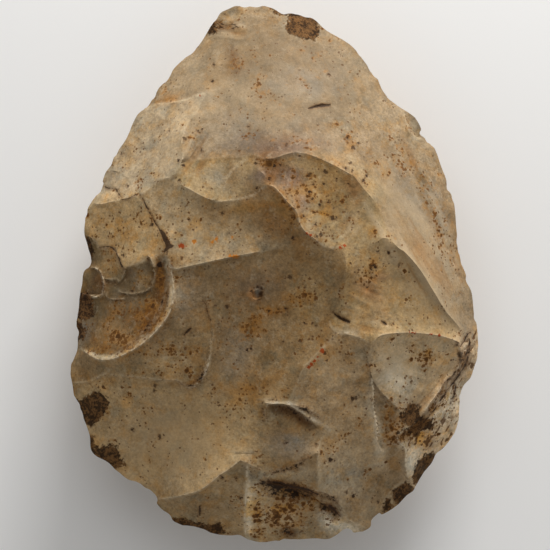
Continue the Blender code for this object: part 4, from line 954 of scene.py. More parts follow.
def dome(points, rim, apex, sections):
    """How high a low dome over the rim stands at these points, from 0 at the rim to 1 at the apex."""
    outward = points - apex
    to_rim = rim - apex
    order = np.argsort(np.arctan2(to_rim[:, 1], to_rim[:, 0]))
    rim_angle = np.arctan2(to_rim[:, 1], to_rim[:, 0])[order]
    rim_radius = np.linalg.norm(to_rim, axis=1)[order]
    angle = np.arctan2(outward[:, 1], outward[:, 0])
    share = np.linalg.norm(outward, axis=1) / np.interp(angle, rim_angle, rim_radius, period=2 * math.pi)
    share = np.clip(share, 0, 1)
    lean = np.sin(angle)[:, None]
    tip, sides, butt = np.array(sections)
    straight, roundness = (sides + (np.where(lean > 0, tip, butt) - sides) * lean**2).T
    return 1 - straight * share - (1 - straight) * share**roundness


def arris_grip(count, faded):
    """How hard an arris of this many points holds the sheet: fully, dying out at its faded ends."""
    along = np.linspace(0, 1, count)
    fade = np.zeros(count)
    if faded in ("start", "both"):
        fade = np.maximum(fade, 1 - along / 0.5)
    if faded in ("end", "both"):
        fade = np.maximum(fade, along / 0.5 - 1)
    return GRIP * FADED_GRIP ** fade


def lattice(spacing, rim, curves):
    """Points in a triangular pattern over the piece, kept clear of the curves."""
    tree = kdtree.KDTree(len(curves))
    for index, (x, y) in enumerate(curves):
        tree.insert((x, y, 0), index)
    tree.balance()
    half_width, half_length = np.abs(rim).max(axis=0)
    row_gap = spacing * math.sqrt(3) / 2
    points = []
    for row in range(-int(half_length / row_gap), int(half_length / row_gap) + 1):
        for column in range(-int(half_width / spacing), int(half_width / spacing) + 1):
            x = (column + row % 2 / 2) * spacing
            y = row * row_gap
            if tree.find((x, y, 0))[2] > CLEARANCE * spacing:
                points.append((x, y))
    return np.array(points)


def hollowness(points, hollows):
    sag = np.full(len(points), SAG)
    for x, y, reach, extra in hollows:
        away = (points[:, 0] - x) ** 2 + (points[:, 1] - y) ** 2
        sag += extra * np.exp(-away / reach**2)
    return sag


def stretched(points, triangles, held_at, held_height, grip, sag):
    """Heights of a sheet over the points, held at some of them, that sags into bowls between them."""
    corners = points[triangles]
    first, second, weight = [], [], []
    area = np.zeros(len(points))
    for turn in range(3):
        at, left, right = (corners[:, (turn + k) % 3] for k in range(3))
        across = (left - at)[:, 0] * (right - at)[:, 1] - (left - at)[:, 1] * (right - at)[:, 0]
        across = np.abs(across)
        cotangent = ((left - at) * (right - at)).sum(axis=1) / across
        first += [triangles[:, (turn + 1) % 3], triangles[:, (turn + 2) % 3]]
        second += [triangles[:, (turn + 2) % 3], triangles[:, (turn + 1) % 3]]
        weight += [cotangent / 2, cotangent / 2]
        area += np.bincount(triangles[:, turn], across / 6, len(points))
    first, second, weight = (np.concatenate(part) for part in (first, second, weight))
    pull = np.bincount(held_at, grip, len(points))
    stiffness = np.bincount(first, weight, len(points)) + pull

    def force(height):
        return stiffness * height - np.bincount(first, weight * height[second], len(points))

    aim = np.bincount(held_at, grip * held_height, len(points)) - sag * area
    height = np.full(len(points), np.average(held_height, weights=grip))
    rest = aim - force(height)
    step = rest / stiffness
    energy = rest @ step
    for _ in range(MOST_ROUNDS):
        pushed = force(step)
        share = energy / (step @ pushed)
        height = height + share * step
        rest = rest - share * pushed
        if np.abs(rest).max() < SETTLED:
            break
        fresh = rest @ (rest / stiffness)
        step = rest / stiffness + fresh / energy * step
        energy = fresh
    return height


def knapped_face(rim, arrises, guides, hollows, spacing, dome_shape, rise):
    """Points and triangles of one face, the rim's points first. A rise below 0 makes it the underside.

    Guides are curves that get points and edges of their own, but don't hold the sheet.
    """
    side = math.copysign(1, rise)
    held = [rim]
    heights = [rim_height(rim)]
    grips = [np.full(len(rim), RIM_GRIP)]
    edges = [(i, (i + 1) % len(rim)) for i in range(len(rim))]
    for lifts, faded, line in arrises.values():
        curve = spline(line)
        first = sum(len(part) for part in held)
        edges += [(first + i, first + i + 1) for i in range(len(curve) - 1)]
        lift = np.interp(np.linspace(0, 1, len(curve)), np.linspace(0, 1, len(lifts)), lifts)
        held.append(curve)
        heights.append(rim_height(curve) + rise * dome(curve, rim, *dome_shape) + side * lift)
        grips.append(arris_grip(len(curve), faded))
    holding = sum(len(part) for part in held)
    for curve in guides:
        first = sum(len(part) for part in held)
        edges += [(first + i, first + i + 1) for i in range(len(curve) - 1)]
        held.append(curve)
    curves = np.vstack(held)
    flat = [Vector(point) for point in np.vstack([curves, lattice(spacing, rim, curves)])]
    flat, _, triangles, sources, _, _ = delaunay_2d_cdt(flat, edges, [], 1, MERGE)
    used, triangles = np.unique(triangles, return_inverse=True)
    triangles = triangles.reshape(-1, 3)
    points = np.array([tuple(flat[i]) for i in used])
    source = np.array([min(sources[i], default=holding) for i in used])
    held_at = np.flatnonzero(source < holding)
    source = source[held_at]
    held_height = np.concatenate(heights)[source]
    grip = np.concatenate(grips)[source]
    sag = side * hollowness(points, hollows)
    return np.column_stack([points, stretched(points, triangles, held_at, held_height, grip, sag)]), triangles


# ---------------------------------------------------------------- finer relief


def beside(points, curve, reach):
    """The points within reach of a curve: their indices, how far left of it they are, and the share
    of the curve that is behind them."""
    low, high = curve.min(axis=0) - reach, curve.max(axis=0) + reach
    near = np.flatnonzero(((points[:, :2] > low) & (points[:, :2] < high)).all(axis=1))
    start, run = curve[:-1], np.diff(curve, axis=0)
    length = np.linalg.norm(run, axis=1)
    offset = points[near, None, :2] - start
    share = np.clip((offset * run).sum(axis=2) / length**2, 0, 1)
    away = offset - share[..., None] * run
    distance = np.linalg.norm(away, axis=2)
    nearest = distance.argmin(axis=1)
    rows = np.arange(len(near))
    across = run[nearest, 0] * away[rows, nearest, 1] - run[nearest, 1] * away[rows, nearest, 0]
    left = np.copysign(distance[rows, nearest], across)
    behind = (np.cumsum(length) - length)[nearest] + share[rows, nearest] * length[nearest]
    along = behind / length.sum()
    kept = (np.abs(left) < reach) & (along > 0) & (along < 1)
    return near[kept], left[kept], along[kept]


def taper(along, faded):
    """1 along a line, falling to 0 at the ends, and over a longer stretch at those that die out."""
    strength = np.clip(np.minimum(along, 1 - along) / LINE_END, 0, 1) ** LINE_SHAPE
    if faded in ("start", "both"):
        strength *= np.clip(along / LINE_FADE, 0, 1) ** LINE_SHAPE
    if faded in ("end", "both"):
        strength *= np.clip((1 - along) / LINE_FADE, 0, 1) ** LINE_SHAPE
    return strength


def line_curve(points):
    """The curve through the points, along a named line, or along named arrises one after another."""
    if not isinstance(points, str):
        return spline(points)
    if points in LINES:
        return line_curve(LINES[points][3])
    return np.vstack([spline(UPPER_ARRISES[name][2]) for name in points.split("+")])


def roughness(points, size, seed, octaves=3):
    """Even bumps of this size in mm, from about -1 to 1."""
    shift = Vector((seed * 17.3, seed * 5.1, seed * 9.7))
    places = (Vector(point) / size + shift for point in points.tolist())
    return np.array([noise.fractal(place, 1.0, 2.0, octaves) for place in places])


def uneven(points, swells):
    return sum(height * roughness(points, size, seed, octaves) for height, size, seed, octaves in swells)


def rim_distance(points, rim):
    tree = kdtree.KDTree(len(rim))
    for index, (x, y) in enumerate(rim):
        tree.insert((x, y, 0), index)
    tree.balance()
    return np.array([tree.find((x, y, 0))[2] for x, y in points[:, :2].tolist()])


def work_lines(points, inland):
    """Steps, lips, cracks and grooves of the upper face."""
    for left, right, faded, line in LINES.values():
        curve = line_curve(line)
        reach = 5 * max(left[1], right[1])
        near, across, along = beside(points, curve, reach)
        on_left = left[0] * np.exp(-np.abs(across) / left[1])
        on_right = right[0] * np.exp(-np.abs(across) / right[1])
        change = np.where(across > 0, on_left, on_right)
        on_line = np.abs(across) < ON_LINE
        change[on_line] = np.maximum(on_left, on_right)[on_line]
        points[near, 2] += change * taper(along, faded) * inland[near]
    for depth, reach, faded, line in UNDERCUTS:
        near, across, along = beside(points, line_curve(line), 6 * reach)
        out = np.maximum(-across, 0) / reach
        points[near, 2] -= depth * out * np.exp(1 - out) * taper(along, faded) * inland[near]
    for depth, width, line in GROOVES:
        near, across, along = beside(points, spline(line), 5 * width)
        points[near, 2] -= depth * np.exp(-(across / width) ** 2) * taper(along, "both")


def turned(east, north, degrees):
    """How far places are along a direction, and how far to the left of it."""
    turn = math.radians(degrees)
    along = east * math.cos(turn) + north * math.sin(turn)
    return along, north * math.cos(turn) - east * math.sin(turn)


def spot(points, x, y, length, width, turn):
    """How far out in an oval each point is: 0 at its centre, 1 at its edge."""
    along, across = turned(points[:, 0] - x, points[:, 1] - y, turn)
    return np.hypot(along / length, across / width)


def rim_chips(rim, seed):
    """Small chips on one face, along the rim: ovals with their depth."""
    luck = np.random.default_rng(seed)
    chips = []
    for place in luck.choice(len(rim), RIM_CHIPS, replace=False):
        along = rim[(place + 2) % len(rim)] - rim[place - 2]
        turn = math.degrees(math.atan2(along[1], along[0]))
        length = luck.uniform(*CHIP_LENGTHS)
        width = length * luck.uniform(*CHIP_WIDTHS)
        chips.append((*rim[place], length, width, turn, luck.uniform(*CHIP_DEPTHS)))
    return chips


def nicked(rim, chips):
    """The rim, bitten in where it is chipped."""
    bitten = rim.copy()
    middle = rim.mean(axis=0)
    for *oval, depth in chips:
        bite = CHIP_BITE * depth * np.maximum(1 - spot(rim, *oval) ** 2, 0)
        inward = middle - rim
        bitten += bite[:, None] * inward / np.linalg.norm(inward, axis=1)[:, None]
    return bitten


def oval_edge(rim, x, y, length, width, turn):
    """The points on an oval's edge that are well inside the rim, in runs."""
    round_trip = np.linspace(0, 2 * math.pi, max(8, round(4.5 * (length + width) / 2 / CURVE_STEP)))
    lean, rise = math.cos(math.radians(turn)), math.sin(math.radians(turn))
    east, north = length * np.cos(round_trip), width * np.sin(round_trip)
    edge = np.column_stack([x + east * lean - north * rise, y + east * rise + north * lean])
    runs, run = [], []
    for point, deep in zip(edge, inside(edge, rim) > 0.5):
        if deep:
            run.append(point)
        elif run:
            runs.append(np.array(run))
            run = []
    return runs + [np.array(run)] if run else runs


def chip_away(points, chips, inland):
    for *oval, depth in chips:
        points[:, 2] -= depth * np.maximum(1 - spot(points, *oval) ** 2, 0) * inland


def drawn_out(points):
    """How high each point stands in the streaks, in mm, and the same from -1 to 1 for the colours."""
    height = np.zeros(len(points))
    shade = np.zeros(len(points))
    for number, (*oval, stretch, width, depth) in enumerate(STREAKS):
        weight = np.exp(-spot(points, *oval) ** 4)
        near = np.flatnonzero(weight > 0.01)
        along, across = turned(points[near, 0], points[near, 1], oval[4])
        flat = np.column_stack([along / stretch, across, np.zeros(len(near))])
        ridges = np.clip(1.6 * roughness(flat, 1.6 * width, 11 + number, 3), -1, 1)
        height[near] += depth * weight[near] * ridges
        shade[near] += weight[near] * ridges * min(1, 4 * depth)
    return height, shade


def rippled(points):
    height = np.zeros(len(points))
    for x, y, oval, apart, depth in RIPPLES:
        away = np.hypot(points[:, 0] - x, points[:, 1] - y)
        weight = depth * np.exp(-spot(points, *oval) ** 4)
        height += weight * np.sin(2 * math.pi * (away + 0.7 * np.sin(away / 3)) / apart)
    return height


def creased(points):
    """How deep in a crease of the rind each point is, from 0 to 1."""
    shown = np.clip(inside(points, BAND) / 1.5 + 0.6, 0, 1)
    near = np.flatnonzero(shown > 0)
    along, across = turned(points[near, 0], points[near, 1], BAND_GRAIN)
    flat = np.column_stack([along / CREASE_STRETCH, across, np.zeros(len(near))])
    grain = roughness(flat, *CREASE_NOISE)
    depth = np.zeros(len(points))
    smooth = 1 - 0.75 * np.exp(-spot(points[near], *SMOOTH_RIND) ** 2)
    depth[near] = shown[near] * smooth * np.clip(1 - np.abs(grain) / CREASE_WIDTH, 0, 1)
    return depth


# ---------------------------------------------------------------- colour fields


def edge_distance(points, corners):
    """How far inside a closed outline each point is, in mm, below 0 outside it, and its nearest side."""
    start = np.array(corners, float)
    run = np.roll(start, -1, axis=0) - start
    run[np.linalg.norm(run, axis=1) == 0] = 1e-9
    distance = np.full(len(points), np.inf)
    nearest = np.zeros(len(points), int)
    crossings = np.zeros(len(points), int)
    for side, ((x, y), (dx, dy)) in enumerate(zip(start, run)):
        along = np.clip(((points[:, 0] - x) * dx + (points[:, 1] - y) * dy) / (dx * dx + dy * dy), 0, 1)
        away = np.hypot(points[:, 0] - x - along * dx, points[:, 1] - y - along * dy)
        nearest[away < distance] = side
        distance = np.minimum(distance, away)
        if dy:
            spans = (points[:, 1] >= y) != (points[:, 1] >= y + dy)
            crossings += spans & (points[:, 0] < x + (points[:, 1] - y) / dy * dx)
    return np.where(crossings % 2, distance, -distance), nearest


def inside(points, corners):
    return edge_distance(points, corners)[0]


def scar_cover(points, parts, ragged):
    """How much of a scar's tone each point gets."""
    corners, blur = [], []
    for part in parts:
        if not isinstance(part, tuple):
            if isinstance(part, list):
                line = spline(part)
            else:
                line = spline(UPPER_ARRISES[part.lstrip("-")][2])[:: -1 if part.startswith("-") else 1]
            corners += list(line)
            blur += [ARRIS_EDGE] * (len(line) - 1) + [SOFT_EDGE]
        else:
            corners.append(part)
            blur.append(SOFT_EDGE)
    distance, nearest = edge_distance(points, corners)
    blur = np.array(blur)[nearest]
    return np.clip((distance + ragged * blur * RAGGED_SCARS) / blur + 0.5, 0, 1)


def worn_lines(points, lines):
    """How pale each point beside the lines is, from wear and painted highlight: (strength, half width,
    the ends that die out, curve)."""
    worn = np.zeros(len(points))
    for strength, width, faded, curve in lines:
        near, across, along = beside(points, curve, EDGE_REACH)
        pale = strength * np.maximum(1 - np.abs(across) / width, 0) * taper(along, faded)
        worn[near] = np.maximum(worn[near], pale)
    return worn


def crust_field(points):
    """How far inside the crust's patches each point is, in mm."""
    return np.clip(np.max([inside(points, corners) for corners in CRUSTS], axis=0), -2, 2)


def lay_on(tint, tone, cover):
    """Cover the tint with a tone, by each point's share."""
    tint += cover[:, None] * (np.array(TONES[tone]) - tint)


def upper_tint(points, ragged):
    """The tones of the scars, the washes over them, and the painted shade of the shaded scars over those."""
    tint = np.tile(TONES["brown_buff"], (len(points), 1))
    for tone, parts in SCARS:
        lay_on(tint, tone, scar_cover(points, parts, ragged))
    for *oval, tone, strength in WASHES:
        out = spot(points, *oval) * (1 + RAGGED_WASHES * ragged)
        lay_on(tint, tone, strength * np.exp(-(out ** 2)))
    for tone, strength, parts in SHADED_SCARS:
        lay_on(tint, tone, strength * scar_cover(points, parts, ragged))
    return tint


def rust_field(points, ragged):
    rust = np.zeros(len(points))
    for *oval, density in RUST:
        out = spot(points, *oval) * (1 + RAGGED_RUST * ragged)
        cover = density * np.exp(-(out ** 2))
        rust = np.maximum(rust, cover) if density > 0 else rust + cover
    return rust


def speck_field(points, specks):
    """How far inside the nearest speck each point is, in mm."""
    away = [radius - np.hypot(points[:, 0] - x, points[:, 1] - y) for x, y, radius in specks]
    return np.clip(np.max(away, axis=0), -1, 1)


def crack_field(points):
    """How far inside a crack or a groove each point is, in mm."""
    cracked = np.full(len(points), UNDERSIDE["cracked"])
    for width, faded, line in [(width, "both", line) for _, width, line in GROOVES] + CRACKS:
        near, across, along = beside(points, line_curve(line), EDGE_REACH)
        shade = width * (0.3 + 0.7 * taper(along, faded)) - np.abs(across)
        cracked[near] = np.maximum(cracked[near], shade)
    return cracked


def seam_field(points):
    """How far inside a seam each point is, in mm."""
    seam = np.full(len(points), UNDERSIDE["seam"])
    for width, spread, faded, line in SEAMS:
        near, across, along = beside(points, line_curve(line), SEAM_REACH)
        on_left = across * (SEAM_SHARP if spread > 1 else 1)
        away = np.where(across > 0, on_left, -across / spread)
        shade = width - SEAM_END * (1 - taper(along, faded)) - away
        seam[near] = np.maximum(seam[near], shade)
    return seam


def calm_field(points):
    return np.max([np.exp(-spot(points, *oval) ** 4) for oval in CALM], axis=0)


def worn_field(points):
    lines = []
    for name, (_, faded, line) in UPPER_ARRISES.items():
        lines.append((EDGE_WEAR_AND_HIGHLIGHT.get(name, PLAIN_EDGE_PALENESS), PALE_EDGE_WIDTH, faded, spline(line)))
    for name, (_, _, faded, line) in LINES.items():
        if name not in NO_PALE_EDGE:
            lines.append((LINE_EDGE_PALENESS, PALE_EDGE_WIDTH, faded, line_curve(line)))
    lines += [(*blade, line_curve(line)) for *blade, line in BLADES]
    return worn_lines(points, lines)


def step_foot_dark_field(points):
    """How much darker the ground is at the foot of a step, more below a higher step."""
    step_foot_dark = np.zeros(len(points))
    for left, right, faded, line in LINES.values():
        near, across, along = beside(points, line_curve(line), STEP_FOOT_REACH)
        away = np.abs(across)
        depth = np.clip(-2 * np.where(across > 0, left[0], right[0]) - 0.5, 0, 1)
        darkening = depth * np.exp(-away / STEP_FOOT_WIDTH) * (away > ON_LINE) * taper(along, faded)
        step_foot_dark[near] = np.maximum(step_foot_dark[near], darkening)
    return step_foot_dark


def colour_fields(points):
    """What the material reads at each point: the tint, and the strength or the edge of each mark."""
    ragged = roughness(points, 5, 21)
    return upper_tint(points, ragged), {
        "rust": rust_field(points, ragged),
        "crust": crust_field(points),
        "band": np.clip(inside(points, BAND), -3, 3),
        "dark": speck_field(points, DARK_SPECKS),
        "orange": speck_field(points, ORANGE_DROPS),
        "red": speck_field(points, RED_DROPS),
        "cracked": crack_field(points),
        "seam": seam_field(points),
        "calm": calm_field(points),
        "worn": worn_field(points),
        "step_foot_dark": step_foot_dark_field(points),
    }


def underside_fields(points, rim):
    """The same for the points of the underside, which is plainer."""
    share = np.clip(0.5 + 0.9 * roughness(points, 11, 41), 0, 1)[:, None]
    tint = (1 - share) * TONES["brown_buff"] + share * TONES["low_buff"]
    fields = {name: np.full(len(points), value) for name, value in UNDERSIDE.items()}
    fields["rust"] = LOWER_RUST + uneven(points, LOWER_RUST_PATCHES)
    fields["crust"] = np.minimum(crust_field(points), CRUST_LAP - rim_distance(points, rim))
    lines = [(PLAIN_EDGE_PALENESS, PALE_EDGE_WIDTH, faded, spline(line)) for _, faded, line in LOWER_ARRISES.values()]
    fields["worn"] = worn_lines(points, lines)
    return tint, fields


# ---------------------------------------------------------------- the piece


def upper_guides(rim):
    """Where the upper face gets points of its own, besides the rim and the arrises."""
    guides = [line_curve(line[3]) for line in LINES.values() if not isinstance(line[3], str)]
    guides += [spline(line) for _, _, line in GROOVES]
    guides += [spline(line) for _, _, line in CRACKS if not isinstance(line, str)]
    guides += [np.array([speck[:2]]) for speck in DARK_SPECKS + ORANGE_DROPS + RED_DROPS]
    for *oval, _ in CHIPS:
        guides += oval_edge(rim, *oval)
    return guides


def inland_share(points, rim):
    """How much of its relief each point gets: none on the rim, all of it from RIM_MARGIN inside."""
    return np.clip(rim_distance(points, rim) / RIM_MARGIN, 0, 1)


def upper_face(rim, chips):
    """The upper face's points and triangles, and its streaks and creases for the colours."""
    dome_shape = (UPPER_APEX, UPPER_SECTIONS)
    guides = upper_guides(rim)
    points, faces = knapped_face(rim, UPPER_ARRISES, guides, UPPER_HOLLOWS, UPPER_SPACING, dome_shape, CREST)
    inland = inland_share(points, rim)
    work_lines(points, inland)
    chip_away(points, chips, inland)
    streaks, shade = drawn_out(points)
    crease = creased(points)
    worked = streaks + rippled(points) - CREASE_DEPTH * crease
    worked += uneven(points, UPPER_SWELLS)
    points[:, 2] += inland * worked
    return points, faces, {"streak": shade, "crease": crease}


def lower_face(rim, chips):
    dome_shape = (LOWER_APEX, LOWER_SECTIONS)
    points, faces = knapped_face(rim, LOWER_ARRISES, [], [], LOWER_SPACING, dome_shape, -KEEL)
    inland = inland_share(points, rim)
    chip_away(points, [(*oval, -depth) for *oval, depth in chips], inland)
    points[:, 2] += inland * uneven(points, LOWER_SWELLS)
    return points, faces


def joined_faces(upper, upper_faces, lower, lower_faces, shared):
    """Both faces as one closed piece. They share this many points, those of the rim, which come first."""
    place = np.arange(len(lower)) + len(upper) - shared
    place[:shared] = np.arange(shared)
    return np.vstack([upper, lower[shared:]]), np.vstack([upper_faces, place[lower_faces][:, ::-1]])


def fitted(points, box):
    """The points moved and sized to the box of the CAD piece, and worn flat where it rests."""
    low_box, high_box = (np.array(corner) / MM for corner in box)
    low, high = points.min(axis=0), points.max(axis=0)
    placed = points - (low + high) / 2
    placed[:, :2] *= ((high_box - low_box) / (high - low))[:2]
    placed[:, 2] = np.maximum(points[:, 2] - low[2] - REST_CUT, 0)
    return placed


def painted_mesh(points, faces, tint, fields):
    mesh = bpy.data.meshes.new("knapped_stone")
    mesh.from_pydata(points.tolist(), [], faces.tolist())
    colour = mesh.color_attributes.new("tint", "FLOAT_COLOR", "POINT")
    colour.data.foreach_set("color", np.column_stack([tint, np.ones(len(tint))]).ravel())
    for name, values in fields.items():
        mesh.attributes.new(name, "FLOAT", "POINT").data.foreach_set("value", values)
    return mesh


def knapped_stone():
    rim = spline(RIM, closed=True)
    upper_chips = rim_chips(rim, CHIP_SEED)
    lower_chips = rim_chips(rim, CHIP_SEED + 1)
    rim = nicked(rim, upper_chips + lower_chips)
    upper, upper_faces, worked = upper_face(rim, CHIPS + upper_chips)
    lower, lower_faces = lower_face(rim, lower_chips)
    points, faces = joined_faces(upper, upper_faces, lower, lower_faces, len(rim))
    tint, fields = colour_fields(upper)
    tint_below, fields_below = underside_fields(points[len(upper):], rim)
    fields.update(worked)
    fields = {name: np.concatenate([values, fields_below[name]]) for name, values in fields.items()}
    mesh = painted_mesh(fitted(points, cad_box) * MM, faces, np.vstack([tint, tint_below]), fields)
    piece = bpy.data.objects.new("knapped_stone", mesh)
    bpy.context.scene.collection.objects.link(piece)
    bpy.ops.object.select_all(action="DESELECT")
    piece.select_set(True)
    bpy.context.view_layer.objects.active = piece
    bpy.ops.object.shade_smooth_by_angle(angle=math.radians(SHARP_ARRIS))
    piece.data.materials.append(patinated_flint())
    return piece


# ---------------------------------------------------------------- the material

FRAY = 0.8  # how ragged a speck is, in its cell's size
NOISE_GAIN = 16.0  # brings a noise that keeps within about 0.06 of its middle up to about 1
BUMP_DEPTH = 0.3  # mm
BUMP_STRENGTH = 0.6
DULLNESS = 0.6  # roughness of the bare flint
GLOSS = 0.14


class Value:
    """A number that varies over a surface. An expression on values adds its Math nodes."""

    def __init__(self, paint, socket):
        self.paint = paint
        self.socket = socket

    def math(self, operation, other):
        return self.paint.make("ShaderNodeMath", {"operation": operation}, {0: self, 1: other})

    def __add__(self, other):
        return self.math("ADD", other)

    def __mul__(self, other):
        return self.math("MULTIPLY", other)

    def __sub__(self, other):
        return self.math("SUBTRACT", other)

    def __rsub__(self, other):
        return (self * -1) + other

    __radd__ = __add__
    __rmul__ = __mul__

    def __neg__(self):
        return self * -1

    def ramp(self, low, high):
        """0 where the value is at low, 1 at high, and smooth between them."""
        settings = {"interpolation_type": "SMOOTHSTEP"}
        values = {"Value": self, "From Min": low, "From Max": high}
        return self.paint.make("ShaderNodeMapRange", settings, values)


class Paint:
    """One material, and the nodes that are made for it."""

    def __init__(self, name):
        self.material = bpy.data.materials.new(name)
        self.material.use_nodes = True
        self.tree = self.material.node_tree
        self.shader = self.tree.nodes["Principled BSDF"]

    def set(self, sockets, values):
        for key, value in values.items():
            if isinstance(value, Value):
                self.tree.links.new(value.socket, sockets[key])
            else:
                sockets[key].default_value = value

    def make(self, kind, settings, values, output=0):
        """Any node: its settings first, then the values or links of its sockets."""
        node = self.tree.nodes.new(kind)
        for key, value in settings.items():
            setattr(node, key, value)
        self.set(node.inputs, values)
        return Value(self, node.outputs[output])

    def finish(self, values):
        self.set(self.shader.inputs, values)
        return self.material

    def attribute(self, name, output="Fac"):
        return self.make("ShaderNodeAttribute", {"attribute_name": name}, {}, output)

    def mix(self, share, first, second, blend="MIX"):
        settings = {"data_type": "RGBA", "blend_type": blend, "clamp_factor": True}
        return self.make("ShaderNodeMix", settings, {0: share, 6: first, 7: second}, 2)

    def noise(self, place, size, seed=0.0, detail=3.0, roughness=0.55):
        """Cloudy noise with spots of this size in mm, mostly from -1 to 1."""
        values = {"Vector": place, "W": seed, "Scale": 1 / (size * MM)}
        values.update({"Detail": detail, "Roughness": roughness})
        cloud = self.make("ShaderNodeTexNoise", {"noise_dimensions": "4D"}, values)
        return (cloud - 0.5) * NOISE_GAIN

    def specks(self, place, size, amount):
        """Ragged specks in cells of this size in mm, above 0 inside one. The amount is 0.3 for a few
        and 0.8 for many."""
        frayed = self.make("ShaderNodeTexNoise", {}, {"Vector": place, "Scale": 1.5 / (size * MM)}, 1)
        fray = (FRAY * size * MM,) * 3
        settings = {"operation": "MULTIPLY_ADD"}
        place = self.make("ShaderNodeVectorMath", settings, {0: frayed, 1: fray, 2: place})
        cells = {"Vector": place, "Scale": 1 / (size * MM)}
        away = self.make("ShaderNodeTexVoronoi", {}, cells)
        luck = self.make("ShaderNodeTexVoronoi", {}, cells, 1)
        return (luck + amount - 1) * 0.9 - away

    def shade(self, colour, amount):
        """The colour, made lighter or darker by an amount around 1."""
        grey = self.make("ShaderNodeCombineColor", {}, {0: amount, 1: amount, 2: amount})
        return self.mix(1.0, colour, grey, "MULTIPLY")


def solid(tone):
    return (*TONES[tone], 1.0)


def glaze(paint, share, colour, name):
    """The colour, multiplied by a glaze where the share is 1."""
    return paint.mix(share, colour, (*GLAZES[name], 1.0), "MULTIPLY")


def patina(paint, place):
    """The mottled colour of the old surface."""
    lively = 1 - paint.attribute("calm") * 0.5
    stained = paint.attribute("rust") * 0.4
    mottle = paint.noise(place, 8, 1, 4, 0.6) * 0.065 + paint.noise(place, 2.2, 2, 4, 0.65) * 0.06
    grain = paint.noise(place, 0.6, 3, 3, 0.7) * 0.085
    colour = paint.attribute("tint", "Color")
    colour = paint.shade(colour, 0.915 + (mottle + grain) * lively)
    grey = paint.noise(place, 5, 4, 4, 0.6).ramp(0.0, 2.2) * lively
    colour = glaze(paint, grey * 0.6, colour, "grey")
    ochre = paint.noise(place, 3.6, 5, 5, 0.65).ramp(-0.4, 2.2) * (lively * 0.42 + stained)
    colour = glaze(paint, ochre, colour, "ochre")
    dust = paint.noise(place, 0.9, 26, 4, 0.7).ramp(-0.6, 1.8) * (lively * 0.3 + stained)
    colour = glaze(paint, dust, colour, "dust")
    pale = paint.noise(place, 1.7, 6, 5, 0.7).ramp(0.6, 2.4) * lively
    return paint.mix(pale * 0.2, colour, solid("bleached"))


def streaked(paint, colour):
    """Pale ridges and ochre furrows where the surface is drawn out."""
    streak = paint.attribute("streak")
    colour = paint.mix(streak.ramp(0.05, 0.7) * 0.4, colour, solid("flank_cream"))
    return glaze(paint, (-streak).ramp(0.05, 0.7) * 0.6, colour, "furrow")


def rusted(paint, place, colour):
    """Rust from an ochre haze to dark specks, and where the larger specks are."""
    patchy = paint.noise(place, 7, 9, 2) * 0.2
    rust = paint.attribute("rust") + patchy + paint.noise(place, 2.4, 8, 3, 0.6) * 0.3
    halo = rust.ramp(0.0, 0.9)
    haze = (paint.noise(place, 1.6, 10, 5, 0.75) + rust * 2.2).ramp(1.2, 4.2)
    colour = paint.mix(haze * halo * 0.48, colour, solid("ochre"))
    wide = paint.specks(place, 1.35, rust * 0.34 + 0.28)
    small = paint.specks(place, 0.7, rust * 0.36 + 0.42)
    tone = paint.mix(rust.ramp(0.2, 1.0), solid("speck"), solid("rust"))
    colour = paint.mix(wide.ramp(-0.14, 0.02) * halo * 0.6, colour, solid("ochre"))
    colour = paint.mix(wide.ramp(-0.03, 0.07) * 0.9, colour, tone)
    colour = paint.mix(small.ramp(-0.05, 0.1) * 0.9, colour, tone)
    return paint.mix(wide.ramp(0.1, 0.28) * 0.6, colour, solid("umber")), wide.ramp(0, 0.1)


def banded(paint, place, colour):
    """The creased brown rind on the right."""
    band = (paint.attribute("band") + paint.noise(place, 1.2, 13) * 0.13).ramp(-0.6, 0.6)
    blots = paint.noise(place, 1.8, 14, 5, 0.7).ramp(0.4, 2.4)
    colour = paint.mix(band * blots * 0.5, colour, solid("rust"))
    crease = (paint.attribute("crease") + paint.noise(place, 0.8, 15) * 0.06).ramp(0.25, 0.8)
    colour = paint.mix(crease.ramp(0.0, 0.6) * 0.78, colour, solid("rust"))
    return paint.mix(crease.ramp(0.6, 1.0) * 0.35, colour, solid("umber"))


def crusted(paint, place, colour):
    """Patches of crust, where they are, and how high their crumbs stand."""
    ragged = paint.noise(place, 0.9, 15, 4, 0.65) * 0.2 + paint.noise(place, 2.6, 30, 3) * 0.16
    crust = (paint.attribute("crust") + ragged).ramp(-0.2, 0.25)
    crumbs = paint.noise(place, 0.55, 16, 4, 0.75)
    clods = paint.noise(place, 1.6, 23, 4, 0.7)
    lumps = (crumbs * 0.8 + clods).ramp(-1.4, 1.8)
    tone = paint.mix(lumps, solid("dark_crust"), solid("light_crust"))
    return paint.mix(crust * 0.95, colour, tone), crust, crumbs * 0.06 + 0.5


def seamed(paint, place, colour):
    """Dark brown in the seams, with a ragged edge: dirt along most, painted shadow in the butt crevice and
    under the lens lip.
    """
    ragged = paint.noise(place, 0.8, 24, 4, 0.75) * 0.26 + paint.noise(place, 2.4, 28, 2) * 0.16
    seam = paint.attribute("seam") + ragged
    colour = paint.mix(seam.ramp(-1.4, 0.0) * 0.55, colour, solid("rust"))
    return paint.mix(seam.ramp(-0.3, 0.3) * 0.95, colour, solid("seam_dirt_and_shadow"))


